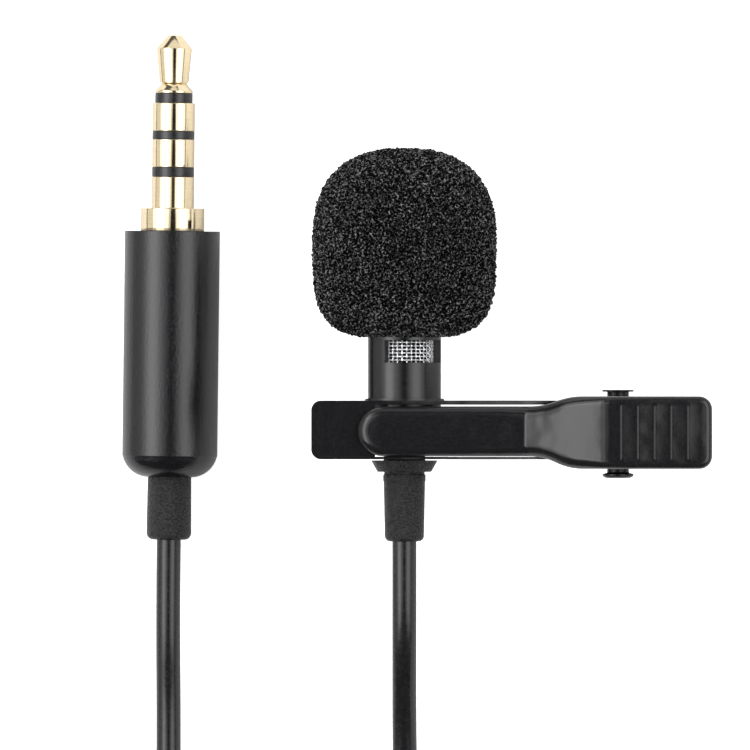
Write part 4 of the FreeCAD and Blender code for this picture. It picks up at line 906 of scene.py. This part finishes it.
def edge_round(along):
    """Radius of the sheet's rounded edge: widest beside the slope, narrow round the pad."""
    if along < SLOPE_START:
        return ARM_ROUND + (SLOPE_ROUND - ARM_ROUND) * share(along, SLOPE_START - 1, SLOPE_START)
    return SLOPE_ROUND + (PAD_ROUND - SLOPE_ROUND) * share(along, FLARE_END, RIB_FIRST)


# %% Draw the front arm's outline
def steps_between(start, end, step):
    """Evenly spaced places from start to end, both included."""
    count = max(1, round((end - start) / step))
    return [start + (end - start) * index / count for index in range(count + 1)]


# The stops are the places of the cuts along the arm. They lie close where the sheet bends.
corner_start = PAD_END - PAD_CORNER
jaw_start, jaw_end = ARM_TIP + ARM_HALF, ARM_TIP + ARM_HALF + TOOTH_PITCH * TEETH
jaw_stops = steps_between(jaw_start, jaw_end, TOOTH_PITCH / 2)
jaw_stops += steps_between(jaw_stops[-1] + 1, SLOPE_START - 0.3, 1)
bend_stops = steps_between(SLOPE_START - 0.2, FLARE_START, 0.05)
bend_stops += steps_between(FLARE_START, FLARE_END, 0.22)[1:]
brow_stops = steps_between(FLARE_END, SLOPE_END + 0.8, 0.12)[1:]
rib_stops = [RIB_FIRST + RIB_PITCH * index + shift for index in range(RIBS) for shift in RIB_STOPS]
rib_stops.append(RIB_FIRST + RIB_PITCH * RIBS)
ear_stops = [PIVOT_ACROSS + EAR_RADIUS * math.cos(math.pi * index / 10) for index in range(11)]
all_stops = jaw_stops + bend_stops + brow_stops + rib_stops + ear_stops + [PAD_RIM_START, corner_start]
stops = sorted(stop for stop in {round(stop, 4) for stop in all_stops} if stop <= corner_start)
upper = [(stop, flare(stop, ARM_MIDDLE + ARM_HALF, PAD_MIDDLE + PAD_HALF)) for stop in stops]
lower = [(stop, flare(stop, ARM_MIDDLE - ARM_HALF, PAD_MIDDLE - PAD_HALF)) for stop in stops]
tip = arc((ARM_TIP + ARM_HALF, ARM_MIDDLE), ARM_HALF, 90, 270, 18)[1:-1]
low_corner = arc((corner_start, PAD_MIDDLE - PAD_HALF + PAD_CORNER), PAD_CORNER, -90, 0, 8)[1:]
high_corner = arc((corner_start, PAD_MIDDLE + PAD_HALF - PAD_CORNER), PAD_CORNER, 0, 90, 8)[:-1]
arm_plan = tip + lower + low_corner + high_corner + list(reversed(upper))
print("the front arm's outline has %d points" % len(arm_plan))


# %% Ways of cutting and lifting the sheet
def fill_plan(name, plan):
    """A flat face with the outline, left in edit mode."""
    piece = draw_line(name, [(along, across, 0) for along, across in plan])
    bpy.ops.mesh.edge_face_add()
    bpy.ops.mesh.select_all(action="SELECT")
    bpy.ops.mesh.normals_make_consistent(inside=False)
    if bmesh.from_edit_mesh(piece.data).faces[:][0].normal.z < 0:
        bpy.ops.mesh.flip_normals()
    return piece


def cut_across(piece, place, normal, chosen=lambda middle: True):
    """Cuts the faces whose middle is chosen along a plane."""
    bpy.ops.mesh.select_mode(type="FACE")
    edited = bmesh.from_edit_mesh(piece.data)
    for face in edited.faces:
        face.select_set(chosen(face.calc_center_median() / MM))
    bmesh.update_edit_mesh(piece.data)
    bpy.ops.mesh.bisect(plane_co=Vector(place) * MM, plane_no=normal, threshold=1e-7)


def lift_to(piece, height, chosen=lambda vertex: True):
    """Moves the chosen points to a height that depends on their place, one height at a time."""
    bpy.ops.mesh.select_mode(type="VERT")
    edited = bmesh.from_edit_mesh(piece.data)
    groups = {}
    for vertex in edited.verts:
        if chosen(vertex):
            lift = height(vertex.co.x / MM, vertex.co.y / MM) * MM - vertex.co.z
            groups.setdefault(round(lift / MM, 4), []).append(vertex.index)
    for lift, members in groups.items():
        edited = bmesh.from_edit_mesh(piece.data)
        edited.verts.ensure_lookup_table()
        for vertex in edited.verts:
            vertex.select_set(False)
        for index in members:
            edited.verts[index].select_set(True)
        edited.select_flush_mode()
        bmesh.update_edit_mesh(piece.data)
        bpy.ops.transform.translate(value=(0, 0, lift * MM))


# %% Cut, lift and round it
LONGEST_RIM = 2
RIM_CREASE = 58
front = fill_plan("front_jaw", arm_plan)
for stop in [stop for stop in stops if stop > SLOPE_START - 0.35]:
    cut_across(front, (stop, 0, 0), (1, 0, 0))
for shift in (-RIB_HALF, RIB_ROUND - RIB_HALF, RIB_HALF - RIB_ROUND, RIB_HALF):
    cut_across(
        front,
        (0, PAD_MIDDLE + shift, 0),
        (0, 1, 0),
        lambda middle: RIB_FIRST < middle.x < RIB_FIRST + RIB_PITCH * RIBS,
    )
lift_to(front, lambda along, across: arm_face(along) + rib_lift(along, across))
bpy.ops.mesh.select_all(action="SELECT")
bpy.ops.mesh.region_to_loop()
bpy.ops.mesh.extrude_region_move(TRANSFORM_OT_translate={"value": (0, 0, -LONGEST_RIM * MM)})
rim = {vertex.index for vertex in bmesh.from_edit_mesh(front.data).verts if vertex.select}
lift_to(front, lambda along, across: arm_rim(along), lambda vertex: vertex.index in rim)
bpy.ops.mesh.select_all(action="SELECT")
bpy.ops.mesh.normals_make_consistent(inside=False)
bpy.ops.mesh.select_all(action="DESELECT")
bpy.ops.mesh.select_mode(type="EDGE")
bpy.ops.mesh.edges_select_sharp(sharpness=math.radians(RIM_CREASE))
edited = bmesh.from_edit_mesh(front.data)
weights = edited.edges.layers.float.new("bevel_weight_edge")
for edge in edited.edges:
    if edge.select:
        edge[weights] = edge_round((edge.verts[0].co.x + edge.verts[1].co.x) / 2 / MM) / SLOPE_ROUND
bmesh.update_edit_mesh(front.data)
bpy.ops.object.mode_set(mode="OBJECT")
apply_modifier(
    front, "BEVEL", width=SLOPE_ROUND * MM, segments=6, limit_method="WEIGHT", use_clamp_overlap=False
)
print("front arm: %d faces before it gets its thickness" % len(front.data.polygons))


# %% Thickness, pin holes and finish
def drill(piece, across, height, radius, length=20):
    """Cuts a round hole right through along Y."""
    bpy.ops.object.select_all(action="DESELECT")
    bpy.ops.mesh.primitive_cylinder_add(
        vertices=48,
        radius=radius * MM,
        depth=length * MM,
        location=(across * MM, 0, height * MM),
        rotation=(math.pi / 2, 0, 0),
    )
    cutter = bpy.context.object
    apply_modifier(piece, "BOOLEAN", object=cutter, operation="DIFFERENCE", solver="EXACT")
    bpy.data.objects.remove(cutter)


PIN_RADIUS, PIN_PLAY = 0.89, 0.04
apply_modifier(front, "SOLIDIFY", thickness=SHEET * MM, offset=-1, use_even_offset=True)
drill(front, PIVOT_ACROSS, PIVOT_HEIGHT, PIN_RADIUS + PIN_PLAY)
soften(front, width=0.04, segments=2, angle=20)
settle(front, seat)
dress(front, "satin_paint", "front_arm", "black_paint", "front_arm")

# %% [markdown]
# ## Rear arm
# The rear arm is a frame of bent sheet: an end plate, two rails beside a slot, two lugs with holes
# for the microphone, ears for the pin and a plain thumb pad. Its solid already has that form, so a
# copy of it is merged, its flat faces are joined and its edges are broken. Weighted normals then
# keep its wide faces flat in the light beside the narrow rounded edges.

# %% Break the rear arm's edges
FLAT = 0.5


def copy_solid(node, name):
    """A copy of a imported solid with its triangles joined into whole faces."""
    piece = add_object(name, frame["nodes"][node].data.copy())
    pick(piece)
    bpy.ops.object.mode_set(mode="EDIT")
    bpy.ops.mesh.select_all(action="SELECT")
    bpy.ops.mesh.remove_doubles(threshold=FINE_WELD * MM)
    bpy.ops.mesh.dissolve_limited(angle_limit=math.radians(FLAT))
    bpy.ops.object.mode_set(mode="OBJECT")
    return piece


rear = copy_solid("rear_arm", "rear_jaw")
soften(rear, width=0.04, segments=2, angle=40)
apply_modifier(rear, "WEIGHTED_NORMAL", keep_sharp=True)
dress(rear, "satin_paint", "clip_base", "black_paint", "rear_arm")

# %% [markdown]
# ## Hinge pin
# The pin is a tubular rivet: its ends are rolled outwards into thin round heads.

# %% Turn the pin
PIN_TOP, PIN_BOTTOM, PIN_BORE, HEAD_RADIUS = 0.84, -6.39, 0.6, 1.29
UPPER_HEAD, LOWER_HEAD = 0.16, 0.33
pin = turn(
    "rivet",
    [
        (PIN_BORE, PIN_BOTTOM),
        (HEAD_RADIUS - 0.35, PIN_BOTTOM),
        (HEAD_RADIUS - 0.06, PIN_BOTTOM + LOWER_HEAD - 0.2),
        (HEAD_RADIUS, PIN_BOTTOM + LOWER_HEAD),
        (PIN_RADIUS, PIN_BOTTOM + LOWER_HEAD + 0.12),
        (PIN_RADIUS, PIN_TOP - UPPER_HEAD),
        (HEAD_RADIUS, PIN_TOP - UPPER_HEAD),
        (HEAD_RADIUS, PIN_TOP),
        (PIN_BORE, PIN_TOP),
        (PIN_BORE, PIN_BOTTOM),
    ],
)
soften(pin, width=0.06)
settle(pin, seat @ Matrix.Translation((PIVOT_ACROSS * MM, 0, PIVOT_HEIGHT * MM)))
dress(pin, "satin_paint", "clip_base", "black_paint", "hinge_pin")

# %% [markdown]
# ## Woven window
# Behind the window of the microphone's body sits a fine steel cloth. It is woven here as the real
# one is. A ring wire and an upright wire are laid in waves, and every second wire is made with its
# waves swapped, so that the wires pass over and under each other. Each kind is made once and copied.

# %% Weave the window
CLOTH_RADIUS, CLOTH_LOW, CLOTH_HIGH = 2.32, 2.4, 5.6
UPRIGHTS, RINGS, WIRE_RADIUS, WAVE = 38, 12, 0.052, 0.1


def wire_along(name, spots, closed):
    """A thin round wire on a smooth spline, as a mesh."""
    wire = draw_spline(name, [Vector(spot) * MM for spot in spots], steps=3, closed=closed)
    wire.data.bevel_depth = WIRE_RADIUS * MM
    wire.data.bevel_resolution = 1
    pick(wire)
    bpy.ops.object.convert(target="MESH")
    wire = bpy.context.object
    bpy.ops.object.mode_set(mode="EDIT")
    close_mesh(FINE_WELD)
    return wire


def copies(piece, places):
    """Copies of the piece at each place, each with its own mesh. The piece itself is removed."""
    made = []
    for place in places:
        twin = add_object(piece.name, piece.data.copy())
        twin.data.transform(place)
        made.append(twin)
    bpy.data.objects.remove(piece)
    return made


def join(pieces, name):
    """One piece made of all of them."""
    pick(pieces[0])
    for piece in pieces[1:]:
        piece.select_set(True)
    bpy.ops.object.join()
    pieces[0].name = name
    return pieces[0]


def weave_cloth():
    """Rings and uprights, pushed out and in by turns where they cross."""
    turn_step = 2 * math.pi / UPRIGHTS
    ring_step = (CLOTH_HIGH - CLOTH_LOW) / (RINGS - 1)
    made = []
    for start, sign in ((0, 1), (1, -1)):
        radii = [CLOTH_RADIUS + WAVE * sign * (-1) ** index for index in range(UPRIGHTS)]
        ring = [
            (radius * math.cos(turn_step * index), CLOTH_LOW, radius * math.sin(turn_step * index))
            for index, radius in enumerate(radii)
        ]
        lifts = [Matrix.Translation((0, ring_step * row * MM, 0)) for row in range(start, RINGS, 2)]
        made += copies(wire_along("ring_wire", ring, True), lifts)
        radii = [CLOTH_RADIUS - WAVE * sign * (-1) ** row for row in range(RINGS)]
        upright = [(radius, CLOTH_LOW + ring_step * row, 0) for row, radius in enumerate(radii)]
        turns = [Matrix.Rotation(-turn_step * index, 4, "Y") for index in range(start, UPRIGHTS, 2)]
        made += copies(wire_along("upright_wire", upright, False), turns)
    return join(made, "steel_cloth")


cloth = weave_cloth()
smooth(cloth, angle=60)
settle(cloth, seat)
dress(cloth, "woven_steel", "microphone", "woven_steel", "window_mesh")

# %% [markdown]
# ## Spring
# The spring has four turns round the pin and a leg along the inside of each pad. A small circle is
# screwed round the pin's axis, and its two ends are extruded into the legs.

# %% Wind the spring
SPRING_WIRE, SPRING_RADIUS, SPRING_PITCH, SPRING_TURNS = 0.19, 1.35, 0.85, 4
LEG_REACH, FRONT_LEG_RISE, REAR_LEG_DROP = 6.0, 3.635, 3.435
SPRING_MIDDLE = -2.515
WIRE_SIDES, WINDING_STEPS = 14, 160


def leg_angle(height):
    """Where a leg that ends at this height touches the turns."""
    return math.atan2(height, LEG_REACH) + math.acos(SPRING_RADIUS / math.hypot(LEG_REACH, height))


def extrude_leg(piece, angle, height, length, direction):
    """Pulls the open end near the angle and height out along its tangent and closes it."""
    end = Vector((SPRING_RADIUS * math.cos(angle), height, SPRING_RADIUS * math.sin(angle))) * MM
    edited = bmesh.from_edit_mesh(piece.data)
    for vertex in edited.verts:
        open_end = any(edge.is_boundary for edge in vertex.link_edges)
        vertex.select_set(open_end and (vertex.co - end).length < 1.6 * SPRING_WIRE * MM)
    edited.select_flush_mode()
    bmesh.update_edit_mesh(piece.data)
    tangent = Vector((-math.sin(angle), 0, math.cos(angle))) * direction * length * MM
    bpy.ops.mesh.extrude_region_move(TRANSFORM_OT_translate={"value": tangent})
    bpy.ops.mesh.edge_face_add()
    bpy.ops.mesh.select_all(action="DESELECT")


front_angle, rear_angle = leg_angle(FRONT_LEG_RISE), -leg_angle(REAR_LEG_DROP)
wound = 2 * math.pi * (SPRING_TURNS + 1) - (front_angle - rear_angle)
climb = SPRING_PITCH * wound / (2 * math.pi)
bpy.ops.object.select_all(action="DESELECT")
bpy.ops.mesh.primitive_circle_add(
    vertices=WIRE_SIDES, radius=SPRING_WIRE * MM, location=(SPRING_RADIUS * MM, 0, 0)
)
spring = bpy.context.object
spring.name = "wound_spring"
bpy.ops.object.transform_apply(location=True)
spring.data.transform(
    Matrix.Translation((0, (SPRING_MIDDLE + climb / 2) * MM, 0)) @ Matrix.Rotation(-front_angle, 4, "Y")
)
apply_modifier(
    spring,
    "SCREW",
    axis="Y",
    angle=-wound,
    screw_offset=-climb * MM,
    steps=WINDING_STEPS,
    render_steps=WINDING_STEPS,
    use_normal_calculate=True,
)

# %% Draw out its legs
bpy.ops.object.mode_set(mode="EDIT")
bpy.ops.mesh.select_mode(type="VERT")
for angle, side, rise, direction in (
    (front_angle, 1, FRONT_LEG_RISE, -1),
    (rear_angle, -1, REAR_LEG_DROP, 1),
):
    leg = math.sqrt(LEG_REACH**2 + rise**2 - SPRING_RADIUS**2)
    extrude_leg(spring, angle, SPRING_MIDDLE + side * climb / 2, leg, direction)
close_mesh()
smooth(spring, angle=50)
settle(spring, seat @ Matrix.Translation((PIVOT_ACROSS * MM, 0, PIVOT_HEIGHT * MM)))
spring.data.materials.append(finishes["spring_steel"])
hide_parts("torsion_spring")
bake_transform(spring)
print("spring: %.1f turns between its legs" % (wound / (2 * math.pi)))
